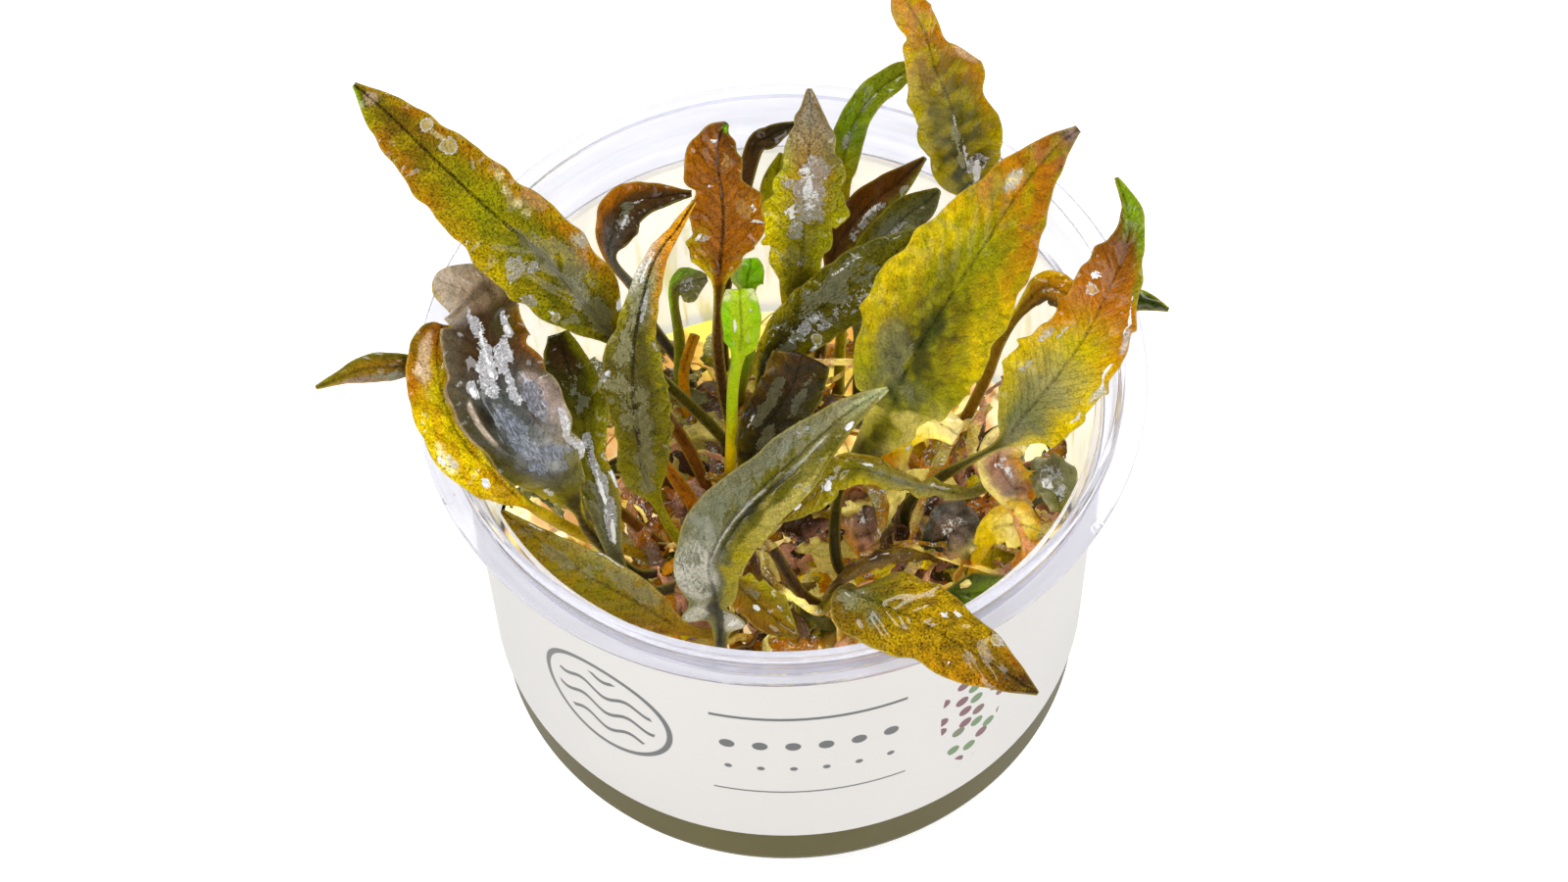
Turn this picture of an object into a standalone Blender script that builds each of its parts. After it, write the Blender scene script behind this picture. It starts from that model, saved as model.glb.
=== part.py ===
"""Cryptocoryne wendtii: a clump of young plants in a clear growing cup.

Lengths are written in millimetres and turned into metres where a mesh is made.
The cup's axis is Z, its underside is at Z = 0, and -Y is the side seen first.
"""
import math
from collections import namedtuple

import bmesh
import bpy
from mathutils import Vector

MM = 0.001
GAP = 0.3

# The cup: a thin moulded tub, with a ledge, a lid ridge and a flange at the top
CUP_HEIGHT = 67.0
FLANGE_RADIUS = 50.5
FLANGE_TOP = 65.6
FLANGE_UNDER = 64.4
RIDGE_INNER = 46.3
RIDGE_OUTER = 47.3
LEDGE_Z = 61.6
LEDGE_RADIUS = 45.6
WALL = 0.9
WALL_TOP_RADIUS = 44.4
WALL_BOTTOM_RADIUS = 43.0
CORNER_RADIUS = 3.0
FLOOR = 1.2
EDGE = 0.4
ROUND_STEPS = 48

# The label: a paper band round the wall
LABEL_BOTTOM = 11.1
LABEL_TOP = 58.0
LABEL_THICKNESS = 0.3

# The gel the plants stand in
GEL_TOP = 20.0

# The root stocks: short stubs on the gel, each in the middle of a ring of stalks
CROWN_RADIUS = 3.0
CROWN_TOP_RADIUS = 1.6
CROWN_HEIGHT = 5.0
CROWN_SIDES = 10
FOOT_RING = 4.6
FOOT_Z = GEL_TOP + 2 * GAP
FOOT_STRAIGHT = 3.0
CROWNS = {
    "left": (-14, -4),
    "middle": (-5, 10),
    "back": (7, 22),
    "back_left": (-11, 25),
    "right": (13, -4),
    "front": (-3, -17),
}

# Leaf sections: a stalk thins out to the blade, whose margins rise once it is flat
STALK_RADIUS = 0.85
BLADE_HALF_THICKNESS = 0.35
FLAT_BELOW = 0.6
STATIONS_PER_POINT = 2

# Ways that a blade can face
TO_FRONT = (0.0, -0.56, 0.83)
UPWARD = (0.0, -0.1, 1.0)

CUP_CLEAR = (0.93, 0.94, 0.97)
LABEL_WHITE = (0.90, 0.89, 0.87)
GEL_OLIVE = (0.42, 0.41, 0.24)
CROWN_BROWN = (0.22, 0.13, 0.05)
OLIVE = (0.16, 0.17, 0.03)
DARK = (0.07, 0.08, 0.04)
YELLOW = (0.45, 0.38, 0.03)
AMBER = (0.42, 0.20, 0.02)
BROWN = (0.20, 0.10, 0.03)
BRIGHT = (0.25, 0.50, 0.05)
GREY_GREEN = (0.22, 0.24, 0.14)
PINK_BROWN = (0.40, 0.20, 0.12)

# One leaf: the crown it grows from and on which side of it, in degrees from +X, or
# "gel" and the point it stands at; the middle points of its stalk (x, y, z); the
# points of its blade from base to tip (x, y, z, reach to the left, reach to the
# right); the way the blade faces at its base and at its tip; and how far its
# margins rise, as a share of the reach.
Leaf = namedtuple("Leaf", "name crown side stalk blade faces rise colour")

LEAVES = [
    Leaf("leaf_upper_left", "middle", 150, [(-9, 10.5, 33), (-17, 8, 52)],
         [(-22.5, 6, 64, 0.8, 0.8), (-26.5, 8, 70, 4.5, 5.3), (-32, 11.5, 77, 7.2, 6.0),
          (-39.5, 16.5, 82, 6.2, 5.7), (-47, 23.5, 85, 5.0, 4.6), (-53, 29, 88, 3.4, 2.6),
          (-57.5, 32.5, 90, 0.3, 0.3)], (TO_FRONT, TO_FRONT), 0.12, OLIVE),
    Leaf("leaf_left_dark", "left", 218, [(-22, -11, 31), (-27.5, -12, 43)],
         [(-29, -14.5, 54, 1.0, 1.0), (-32, -17.5, 68, 4.5, 5.8), (-35.5, -14.7, 74, 6.0, 7.2),
          (-38, -8.5, 75.5, 7.5, 7.0), (-40, -1.5, 75.5, 6.0, 6.5), (-41, 5.5, 73, 4.4, 5.0),
          (-43, 10.5, 71, 3.5, 4.5), (-47, 14, 69, 1.5, 1.8)], (TO_FRONT, TO_FRONT), -0.1, DARK),
    Leaf("leaf_left_behind", "left", 262, [(-19, -15.5, 33), (-22.5, -17.5, 40)],
         [(-24.5, -17, 46, 0.8, 1.6), (-25.8, -12, 52, 2.2, 2.9), (-27, -7.5, 56, 3.0, 2.4),
          (-28, -2, 59, 3.5, 3.7), (-29.5, 3, 62, 3.7, 3.3), (-31, 8, 64, 1.5, 1.5)],
         (TO_FRONT, TO_FRONT), 0.2, DARK),
    Leaf("leaf_left_yellow", "left", 187, [(-28.5, -9, 38), (-33.5, -13, 50)],
         [(-35.5, -18, 61, 0.8, 0.8), (-39.5, -18, 69, 4.2, 1.0), (-43.5, -13.5, 70.5, 4.8, 3.0),
          (-46, -7, 71, 4.7, 4.0), (-47, 0, 71.5, 4.0, 3.6), (-46.5, 5.5, 70.5, 1.5, 1.2)],
         ((0.2, -0.4, 0.85), (0.2, -0.4, 0.85)), 0.1, YELLOW),
    Leaf("leaf_far_left", "left", 155, [(-27, -4, 42), (-32.5, -4.5, 56), (-41.5, -2, 67)],
         [(-49, -0.5, 69, 1.2, 1.2), (-54, -1, 70, 2.0, 2.0), (-57.5, -1, 69.5, 1.8, 1.8),
          (-60.5, -1.5, 68.5, 1.0, 1.0), (-64, -2, 67, 0.3, 0.3)], (TO_FRONT, TO_FRONT), -0.3, BROWN),
    Leaf("leaf_centre_upright", "left", 320, [(-16, -5.5, 32)],
         [(-18.5, -4.5, 40, 0.9, 0.9), (-20, -3.5, 46, 3.2, 3.3), (-20.5, -2, 56, 3.0, 5.0),
          (-20.5, -0.5, 66, 4.5, 4.8), (-19.5, 2, 74, 2.7, 2.8), (-17, 7, 81, 1.5, 1.9),
          (-13.5, 9, 86, 0.9, 0.7), (-11, 10.5, 90, 0.3, 0.3)], (TO_FRONT, TO_FRONT), 0.3, OLIVE),
    Leaf("leaf_orange", "middle", 100, [(-8, 14.5, 33), (-9, 14.5, 50)],
         [(-8.5, 15.5, 64, 0.8, 1.0), (-8, 17.5, 68, 4.2, 3.2), (-7.5, 19.5, 73, 4.0, 5.4),
          (-7.5, 21.5, 78, 4.8, 5.0), (-8, 23.5, 82, 4.2, 3.9), (-7.5, 25.5, 85, 2.6, 2.2),
          (-6.5, 26, 87, 0.5, 0.5)], (TO_FRONT, TO_FRONT), 0.15, AMBER),
    Leaf("leaf_young_green", "middle", 225, [(-7.5, 8.5, 38), (-7, 10, 47)],
         [(-6, 10.5, 54, 1.0, 1.0), (-5.5, 11, 57, 2.4, 2.4), (-5.5, 12, 61, 2.7, 2.8),
          (-5.5, 13, 64, 2.5, 2.6), (-5.5, 14, 65, 1.9, 1.9)], (TO_FRONT, TO_FRONT), 0.3, BRIGHT),
    Leaf("leaf_young_green_back", "back_left", 0, [(-4.5, 23, 38)],
         [(-4.5, 24, 50, 1.0, 1.0), (-4.5, 24.5, 53, 2.3, 2.3), (-4, 25, 55, 2.3, 2.0),
          (-4, 26, 56, 1.0, 1.0)], (TO_FRONT, TO_FRONT), 0.3, BRIGHT),
    Leaf("leaf_top", "back", 215, [(0.5, 20.5, 40), (2.5, 19, 52)],
         [(3, 19.5, 58, 2.2, 2.0), (3.5, 21.5, 65, 4.8, 2.8), (4, 23, 72, 5.5, 5.2),
          (4.5, 25, 78, 3.5, 4.8), (5, 27.5, 84, 2.4, 2.7), (5, 30, 89, 0.3, 0.3)],
         (TO_FRONT, TO_FRONT), 0.2, GREY_GREEN),
    Leaf("leaf_back_green", "back", 150, [(1, 29.5, 42)],
         [(1, 31, 50, 0.8, 0.8), (0, 33.5, 57, 2.0, 2.0), (0, 35, 62, 2.0, 2.0), (1, 37, 66, 0.4, 0.4)],
         (TO_FRONT, TO_FRONT), 0.2, BRIGHT),
    Leaf("leaf_arching_green", "back", 70, [(9.5, 33, 40)],
         [(9.5, 38, 55, 1.2, 1.2), (10, 39, 62, 2.2, 2.2), (11.5, 40.5, 68, 2.3, 2.3),
          (14.5, 42.5, 72, 2.1, 2.1), (18, 44.5, 73.5, 2.0, 2.0), (20.5, 45.5, 74, 1.0, 1.0),
          (22.5, 46.5, 74, 0.3, 0.3)], (TO_FRONT, UPWARD), 0.3, BRIGHT),
    Leaf("leaf_tall", "back", -20, [(19, 24, 32), (23.5, 26.5, 45), (27, 28, 56)],
         [(28.5, 30, 62, 0.8, 0.8), (27, 31, 68, 4.0, 4.5), (26, 32, 74, 5.0, 6.0),
          (24.5, 32.5, 82, 5.6, 5.4), (22.5, 33.5, 88, 4.6, 6.0), (21.5, 34, 93, 3.6, 2.4),
          (20.5, 35, 96, 3.0, 2.5), (18.5, 35, 101, 2.4, 2.1), (17, 37, 107, 0.3, 0.3)],
         (TO_FRONT, TO_FRONT), 0.15, AMBER),
    Leaf("leaf_large_yellow", "right", 250, [(7.5, -9.5, 28), (7, -6, 36), (9, -5, 46)],
         [(14.5, -4.5, 59, 1.2, 1.8), (15.5, -4, 62, 4.3, 5.5), (17, -3, 68, 7.1, 8.6),
          (20, -1.5, 75, 9.6, 9.1), (24, 1, 82, 9.3, 8.3), (28, 4.5, 87, 7.4, 7.2),
          (32.5, 9, 92, 4.9, 4.7), (37, 12.5, 96, 2.3, 2.3), (40.5, 14.5, 98, 0.5, 0.5)],
         (TO_FRONT, TO_FRONT), 0.1, YELLOW),
    Leaf("leaf_right", "right", 345, [(17.5, -3, 34), (22.5, -4.5, 44)],
         [(30, -7.5, 56, 0.8, 0.8), (33, -7, 62, 4.1, 5.8), (37, -5.5, 68, 7.2, 6.6),
          (41, -3.5, 75, 5.6, 6.2), (44, -0.5, 81, 4.9, 4.8), (46.5, 3, 86, 3.5, 2.6),
          (47, 6, 90, 1.0, 2.0), (45.5, 10, 93, 0.3, 0.3)], (TO_FRONT, TO_FRONT), 0.1, YELLOW),
    Leaf("leaf_right_curled", "right", 60, [(24, 7, 34), (29, 10, 46), (31, 11, 54)],
         [(33.5, 10.5, 62, 0.8, 0.8), (37, 10.5, 68, 1.6, 1.6), (40, 7.5, 70, 1.6, 1.6),
          (45, 6, 71, 1.6, 1.6), (50, 5.5, 71, 1.2, 1.2), (53.5, 4.5, 70, 0.3, 0.3)],
         (TO_FRONT, TO_FRONT), -0.3, BROWN),
    Leaf("leaf_brown_back", "back", 110, [(6.5, 28.5, 38)],
         [(7.5, 32.5, 44, 0.8, 0.8), (9, 33.5, 49, 2.4, 2.4), (13, 35, 55, 2.6, 2.3),
          (17.5, 35.5, 60, 2.0, 1.8), (21.5, 37, 64, 0.3, 0.3)], (TO_FRONT, TO_FRONT), 0.2, BROWN),
    Leaf("leaf_grey_back", "back", 20, [(11.5, 24, 40)],
         [(10, 25, 50, 1.0, 1.0), (13, 25.5, 56, 2.3, 2.2), (17, 27.5, 61, 2.4, 2.4),
          (21, 28, 65, 2.0, 2.0), (23, 28, 68, 0.5, 0.5)], (TO_FRONT, TO_FRONT), 0.2, GREY_GREEN),
    Leaf("leaf_wide_grey", "middle", 315, [(-3, 8, 38)],
         [(-3, 9.5, 50, 0.8, 0.8), (0.5, 11.5, 56, 3.0, 3.5), (7.5, 15.5, 60, 3.8, 4.5),
          (14.5, 19, 63, 3.6, 4.5), (20.5, 22.5, 66, 0.6, 0.6)], (TO_FRONT, TO_FRONT), -0.15, GREY_GREEN),
    Leaf("leaf_dark_folded", "middle", 270, [],
         [(-5.5, 5.5, 32, 1.3, 1.3), (-3, 6, 41, 3.4, 4.6), (1, 6.5, 50, 4.3, 4.4), (3, 8, 57, 4.0, 4.0)],
         (TO_FRONT, TO_FRONT), 0.2, DARK),
    Leaf("leaf_front_arching", "front", 225, [(-9, -27, 34), (-9.5, -31.5, 46)],
         [(-10, -31, 57, 1.2, 1.0), (-10.5, -29, 62, 4.6, 4.6), (-7.5, -26, 67, 5.2, 5.0),
          (-3, -24, 72, 4.0, 5.0), (2, -21.5, 76, 3.7, 4.3), (6.5, -19, 79, 2.6, 2.6),
          (10.5, -17, 81, 1.5, 1.5), (14, -15.5, 82, 0.3, 0.3)], (TO_FRONT, TO_FRONT), 0.25, GREY_GREEN),
    Leaf("leaf_front_low", "front", 170, [(-10, -20, 28)],
         [(-15, -22.5, 34, 1.0, 1.0), (-21, -22.3, 41, 4.2, 3.0), (-28, -20.4, 46, 5.0, 3.2),
          (-34.5, -16.4, 49.2, 3.6, 1.3), (-39.5, -13.2, 51.6, 0.4, 0.4)], (TO_FRONT, TO_FRONT), 0.15, OLIVE),
    Leaf("leaf_over_rim", "front", 0, [(7, -19, 36), (8.5, -28, 52)],
         [(7.5, -34, 62, 1.0, 1.0), (9.5, -38.5, 67.5, 5.0, 5.0), (14, -42.5, 70, 6.0, 6.0),
          (18.5, -46, 71, 5.6, 5.2), (22.5, -49, 71, 4.6, 4.6), (27, -51.5, 69.5, 3.2, 3.2),
          (32, -54, 67, 0.3, 0.3)], ((0.1, -0.2, 1.0), (0.1, -0.2, 1.0)), -0.1, YELLOW),
    Leaf("leaf_front_small", "front", 120, [(-7, -15, 32)],
         [(-8, -18, 40, 0.8, 0.8), (-6, -23, 44, 2.0, 2.0), (-2.5, -28, 46, 2.4, 2.4),
          (1, -31, 45, 0.4, 0.4)], (UPWARD, UPWARD), 0.2, OLIVE),
    Leaf("leaf_twisted", "right", 20, [(24, -2, 32), (28, -3.5, 39)],
         [(26, -7, 43, 0.8, 0.8), (22, -9, 47, 1.2, 1.2), (16.5, -9.5, 50, 1.4, 1.4), (11, -9, 53, 1.7, 1.7),
          (6.5, -10.5, 54, 2.2, 2.2), (4, -12.5, 52, 2.2, 2.2), (-1, -14.5, 49, 0.4, 0.4)],
         (TO_FRONT, TO_FRONT), 0.0, OLIVE),
    Leaf("leaf_back_brown", "back_left", 130, [(-19, 29, 36), (-20.5, 27.5, 46)],
         [(-24, 26.5, 56, 0.8, 0.8), (-23.5, 28.5, 60, 2.2, 2.5), (-21.5, 30.5, 63, 2.6, 2.6),
          (-17.5, 30.5, 65, 1.8, 1.6), (-12, 31, 65, 0.4, 0.4)], (TO_FRONT, TO_FRONT), 0.2, BROWN),
    Leaf("leaf_back_dark", "back_left", 60, [(-8, 31.5, 40)],
         [(-3.5, 41, 60, 1.3, 1.3), (-0.5, 42.5, 63, 1.6, 1.6), (3, 43, 65, 0.5, 0.5)],
         (TO_FRONT, TO_FRONT), 0.2, DARK),
    Leaf("leaf_back_small", "back_left", 180, [(-15, 27, 34)],
         [(-15.5, 30, 42, 0.8, 0.8), (-13.5, 30.5, 44, 2.0, 2.0), (-10.5, 31.5, 44, 0.5, 0.5)],
         (TO_FRONT, TO_FRONT), 0.2, OLIVE),
    Leaf("old_leaf_ring", "right", 100, [(13, 3, 30)],
         [(15, 3.5, 36, 2.0, 2.0), (17, 4.5, 42, 2.0, 2.0), (21, 5, 44, 2.0, 2.0), (25, 3, 43, 1.0, 1.0)],
         (TO_FRONT, TO_FRONT), 0.2, YELLOW),
    Leaf("old_leaf_brown", "right", 300, [(14, -9, 27)],
         [(12.5, -7, 30, 2.5, 2.5), (11.5, -3, 32, 3.0, 3.0), (12, 1, 31, 1.0, 1.0)],
         (UPWARD, UPWARD), 0.2, PINK_BROWN),
    Leaf("old_leaf_black", "gel", (21, -9.5), [(20.5, -9, 28)],
         [(21.5, -9.5, 33, 2.0, 2.0), (24.5, -9, 37, 3.5, 3.5), (27.5, -8, 37, 1.0, 1.0)],
         (TO_FRONT, TO_FRONT), 0.2, DARK),
    Leaf("old_leaf_curl", "gel", (33, -2), [(34.5, -3, 34)],
         [(34.5, -6, 42, 1.5, 1.5), (32, -8, 46, 2.5, 2.5), (30, -5.5, 49, 2.5, 2.5),
          (32, -2.5, 50, 2.0, 2.0), (34.5, -3, 48.5, 1.0, 1.0)], (TO_FRONT, TO_FRONT), 0.2, YELLOW),
    Leaf("old_leaf_scrap", "gel", (26, -12.5), [(27, -12, 33)],
         [(29, -11.5, 40, 1.5, 1.5), (32.5, -12.5, 43, 2.8, 2.8), (35.5, -13, 42, 0.8, 0.8)],
         (TO_FRONT, TO_FRONT), 0.1, YELLOW),
    Leaf("old_leaf_grey", "gel", (36, 5), [(37, 3, 34)],
         [(36.5, -2, 42, 1.0, 1.0), (38, -7.5, 46, 2.8, 2.8), (38.5, -12.5, 46, 1.0, 1.0)],
         (TO_FRONT, TO_FRONT), 0.2, GREY_GREEN),
    Leaf("old_leaf_orange", "gel", (31, -18.5), [(32, -18, 32)],
         [(33, -16.5, 38, 1.0, 1.0), (35, -16.5, 41, 1.8, 1.8), (37, -15, 39.5, 0.8, 0.8)],
         (TO_FRONT, TO_FRONT), 0.2, AMBER),
    Leaf("leaf_wall_green", "gel", (18.5, -17), [(20, -18, 29)],
         [(22.5, -18.5, 34, 1.0, 1.0), (27, -20, 37, 3.0, 3.0), (32, -19.5, 39, 0.8, 0.8)],
         (UPWARD, TO_FRONT), 0.2, OLIVE),
    Leaf("old_stalk_red", "gel", (-10.5, 5), [],
         [(-14, 7, 36, 0.95, 0.95), (-17.5, 8.5, 44, 0.8, 0.8)], (TO_FRONT, TO_FRONT), 0.1, BROWN),
    Leaf("old_stalk_brown", "gel", (-12, 1.5), [],
         [(-14.5, 3, 30, 1.1, 1.1), (-17.5, 4.5, 36, 0.8, 0.8)], (TO_FRONT, TO_FRONT), 0.1, BROWN),
    Leaf("old_stalk_orange", "gel", (-14, 20), [],
         [(-14.5, 22, 33, 0.8, 0.8), (-12.5, 23.5, 41, 0.8, 0.8)], (TO_FRONT, TO_FRONT), 0.1, AMBER),
    Leaf("old_stalk_pink", "gel", (-10, -11.5), [],
         [(-14, -13, 29, 0.9, 0.9), (-16, -15.5, 34, 0.7, 0.7)], (TO_FRONT, TO_FRONT), 0.1, PINK_BROWN),
    Leaf("old_stalk_front", "gel", (6, -14), [],
         [(2, -15, 30, 0.9, 0.9), (-2, -11, 36, 0.8, 0.8)], (TO_FRONT, TO_FRONT), 0.1, BROWN),
]


def in_collection(name):
    """A new collection in the scene."""
    group = bpy.data.collections.new(name)
    bpy.context.scene.collection.children.link(group)
    return group


def material(name, colour, roughness, metallic=0.0):
    """A Principled material of one plain colour."""
    made = bpy.data.materials.new(name)
    made.use_nodes = True
    shader = made.node_tree.nodes["Principled BSDF"]
    shader.inputs["Base Color"].default_value = (*colour, 1.0)
    shader.inputs["Roughness"].default_value = roughness
    shader.inputs["Metallic"].default_value = metallic
    return made


def placed(name, mesh, group, finish):
    """The object of one piece, in its collection and with its material."""
    piece = bpy.data.objects.new(name, mesh)
    piece.data.materials.append(finish)
    group.objects.link(piece)
    return piece


def turned(name, profile, group, finish, closed=False):
    """A turned piece from a profile of (radius, z), outer side running down."""
    shape = bmesh.new()
    points = [shape.verts.new((r * MM, 0.0, z * MM)) for r, z in profile]
    for first, second in zip(points, points[1:]):
        shape.edges.new((first, second))
    if closed:
        shape.edges.new((points[-1], points[0]))
    mesh = bpy.data.meshes.new(name)
    shape.to_mesh(mesh)
    shape.free()
    piece = placed(name, mesh, group, finish)
    screw = piece.modifiers.new("turn", "SCREW")
    screw.angle = 2 * math.pi
    screw.steps = ROUND_STEPS
    screw.render_steps = ROUND_STEPS
    screw.use_merge_vertices = True
    screw.merge_threshold = 0.00001
    screw.use_smooth_shade = False
    return piece


def wall_radius(z):
    """Outer radius of the tapered wall at a height."""
    share = (z - CORNER_RADIUS) / (LEDGE_Z - CORNER_RADIUS)
    return WALL_BOTTOM_RADIUS + share * (WALL_TOP_RADIUS - WALL_BOTTOM_RADIUS)


def make_cup(group):
    """The moulded tub."""
    inner_foot = WALL_BOTTOM_RADIUS - WALL
    inner_top = WALL_TOP_RADIUS - WALL
    corner = CORNER_RADIUS
    profile = [
        (0, FLOOR),
        (inner_foot - corner, FLOOR),
        (inner_foot, FLOOR + corner),
        (inner_top, LEDGE_Z),
        (LEDGE_RADIUS, LEDGE_Z + EDGE),
        (RIDGE_INNER, CUP_HEIGHT - EDGE),
        (RIDGE_INNER + 0.8 * EDGE, CUP_HEIGHT),
        (RIDGE_OUTER - 0.8 * EDGE, CUP_HEIGHT),
        (RIDGE_OUTER, FLANGE_TOP),
        (FLANGE_RADIUS - EDGE, FLANGE_TOP),
        (FLANGE_RADIUS, FLANGE_TOP - EDGE),
        (FLANGE_RADIUS, FLANGE_UNDER),
        (RIDGE_OUTER - EDGE, FLANGE_UNDER),
        (LEDGE_RADIUS + WALL, LEDGE_Z - 1.5 * EDGE),
        (WALL_TOP_RADIUS, LEDGE_Z - 3 * EDGE),
        (WALL_BOTTOM_RADIUS, corner),
        (WALL_BOTTOM_RADIUS - 0.3 * corner, 0.3 * corner),
        (WALL_BOTTOM_RADIUS - corner, 0),
        (0, 0),
    ]
    turned("cup", profile, group, material("clear_plastic", CUP_CLEAR, 0.1))


def make_label(group):
    """The paper band, held a hair off the tapered wall."""
    low = wall_radius(LABEL_BOTTOM) + GAP
    high = wall_radius(LABEL_TOP) + GAP
    profile = [
        (low, LABEL_BOTTOM),
        (high, LABEL_TOP),
        (high + LABEL_THICKNESS, LABEL_TOP),
        (low + LABEL_THICKNESS, LABEL_BOTTOM),
    ]
    turned("label", profile, group, material("label_paper", LABEL_WHITE, 0.6), closed=True)


def make_gel(group):
    """The disc of growing gel in the bottom of the cup."""
    inner_foot = WALL_BOTTOM_RADIUS - WALL
    reach = wall_radius(GEL_TOP) - WALL - 2 * GAP
    profile = [
        (0, GEL_TOP),
        (reach, GEL_TOP),
        (inner_foot - 2 * GAP, FLOOR + CORNER_RADIUS + GAP),
        (inner_foot - CORNER_RADIUS - GAP, FLOOR + GAP),
        (0, FLOOR + GAP),
    ]
    turned("gel", profile, group, material("growing_gel", GEL_OLIVE, 0.3))


def make_crowns(group):
    """The root stocks, as stubs that narrow upward."""
    finish = material("crown_brown", CROWN_BROWN, 0.7)
    for name, (x, y) in CROWNS.items():
        shape = bmesh.new()
        bmesh.ops.create_cone(shape, cap_ends=True, segments=CROWN_SIDES, radius1=CROWN_RADIUS * MM,
                              radius2=CROWN_TOP_RADIUS * MM, depth=CROWN_HEIGHT * MM)
        mesh = bpy.data.meshes.new("crown_" + name)
        shape.to_mesh(mesh)
        shape.free()
        piece = placed("crown_" + name, mesh, group, finish)
        piece.location = Vector((x, y, GEL_TOP + GAP + CROWN_HEIGHT / 2)) * MM


def between(rows, span, share):
    """A smooth step between two rows of numbers, from the rows on either side."""
    before = rows[max(span - 1, 0)]
    start = rows[span]
    end = rows[span + 1]
    after = rows[min(span + 2, len(rows) - 1)]
    made = []
    for a, b, c, d in zip(before, start, end, after):
        bend = (2 * a - 5 * b + 4 * c - d) * share + (3 * b - a - 3 * c + d) * share * share
        made.append(b + 0.5 * share * (c - a + bend))
    return made


def leaf_rows(leaf):
    """Rows of (x, y, z, left, right, half thickness) from the foot to the tip."""
    if leaf.crown == "gel":
        x, y = leaf.side
    else:
        turn = math.radians(leaf.side)
        x = CROWNS[leaf.crown][0] + FOOT_RING * math.cos(turn)
        y = CROWNS[leaf.crown][1] + FOOT_RING * math.sin(turn)
    stalk = [(x, y, FOOT_Z), (x, y, FOOT_Z + FOOT_STRAIGHT), *leaf.stalk]
    rows = [(*point, STALK_RADIUS, STALK_RADIUS, STALK_RADIUS) for point in stalk]
    rows += [(*point, BLADE_HALF_THICKNESS) for point in leaf.blade]
    fine = [list(rows[0])]
    for span in range(1, len(rows) - 1):
        for step in range(STATIONS_PER_POINT):
            fine.append(between(rows, span, step / STATIONS_PER_POINT))
    fine.append(list(rows[-1]))
    return fine


def make_leaf(leaf, group):
    """One leaf, stalk and blade together, lofted from a round section to a flat one."""
    rows = leaf_rows(leaf)
    shape = bmesh.new()
    rings = []
    for index, (x, y, z, left, right, thick) in enumerate(rows):
        here = Vector((x, y, z))
        ahead = Vector(rows[min(index + 1, len(rows) - 1)][:3])
        behind = Vector(rows[max(index - 1, 0)][:3])
        along = (ahead - behind).normalized()
        share = index / (len(rows) - 1)
        face = Vector(leaf.faces[0]).lerp(Vector(leaf.faces[1]), share)
        side = along.cross(face).normalized()
        up = side.cross(along)
        flat = leaf.rise if thick < FLAT_BELOW else 0.0
        section = [
            (-left, flat * left),
            (-left / 2, thick + flat * left / 4),
            (right / 2, thick + flat * right / 4),
            (right, flat * right),
            (right / 2, -thick + flat * right / 4),
            (-left / 2, -thick + flat * left / 4),
        ]
        rings.append([shape.verts.new((here + side * s + up * u) * MM) for s, u in section])
    for first, second in zip(rings, rings[1:]):
        for k in range(len(first)):
            n = (k + 1) % len(first)
            shape.faces.new((first[k], first[n], second[n], second[k]))
    shape.faces.new(rings[0][::-1])
    shape.faces.new(rings[-1])
    bmesh.ops.recalc_face_normals(shape, faces=shape.faces)
    mesh = bpy.data.meshes.new(leaf.name)
    shape.to_mesh(mesh)
    shape.free()
    placed(leaf.name, mesh, group, material(leaf.name, leaf.colour, 0.35))


def build():
    """Clear the scene and make every piece."""
    for old in list(bpy.data.objects):
        bpy.data.objects.remove(old, do_unlink=True)
    group = in_collection("cryptocoryne_wendtii")
    make_cup(group)
    make_label(group)
    make_gel(group)
    make_crowns(group)
    for leaf in LEAVES:
        make_leaf(leaf, group)


build()
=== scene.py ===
"""Cryptocoryne wendtii in its growing cup, dressed for a picture.

The sections follow the object as it is put together: the cup, its label and the gel, the
root stocks, then the leaves of each root stock in turn, and the old growth between them.
Lengths are in millimetres and are turned into metres where a mesh is made.
"""
import math

import bpy
import numpy as np
from mathutils import Matrix, Vector


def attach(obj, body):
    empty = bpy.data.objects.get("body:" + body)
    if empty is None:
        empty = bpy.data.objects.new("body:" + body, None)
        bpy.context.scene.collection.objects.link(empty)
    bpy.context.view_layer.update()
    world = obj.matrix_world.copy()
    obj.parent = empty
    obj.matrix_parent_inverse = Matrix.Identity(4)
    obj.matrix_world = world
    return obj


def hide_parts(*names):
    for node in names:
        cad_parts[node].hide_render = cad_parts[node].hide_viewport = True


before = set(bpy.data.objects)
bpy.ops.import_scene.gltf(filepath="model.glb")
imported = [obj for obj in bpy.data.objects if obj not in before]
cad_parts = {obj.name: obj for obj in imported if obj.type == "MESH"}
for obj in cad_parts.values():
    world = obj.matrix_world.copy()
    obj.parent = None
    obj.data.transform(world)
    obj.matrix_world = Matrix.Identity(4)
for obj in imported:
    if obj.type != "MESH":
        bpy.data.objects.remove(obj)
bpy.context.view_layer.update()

# The studio: a white table that glows a little from below, under a soft sky that is dimmest
# where the camera stands, with soft boxes at the back, overhead, at the left and in front.
MM = 0.001
PICTURE_WIDTH = 1600
FOCAL_PIXELS = 4000
SENSOR = 36.0
NEAR_CLIP = 0.01
CAMERA_RISE = math.radians(56.09)
CAMERA_ROLL = math.radians(-1.78)
CAMERA_DISTANCE = 612.83
CAMERA_TARGET = Vector((0.04, 31.8, 0.0))
SKY_DIM = 0.12
SKY_BRIGHT = 0.5
SKY_DIMS_BETWEEN = (0.82, 0.96)
LAMPS_FACE = Vector((0, 0, 0.06))
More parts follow.
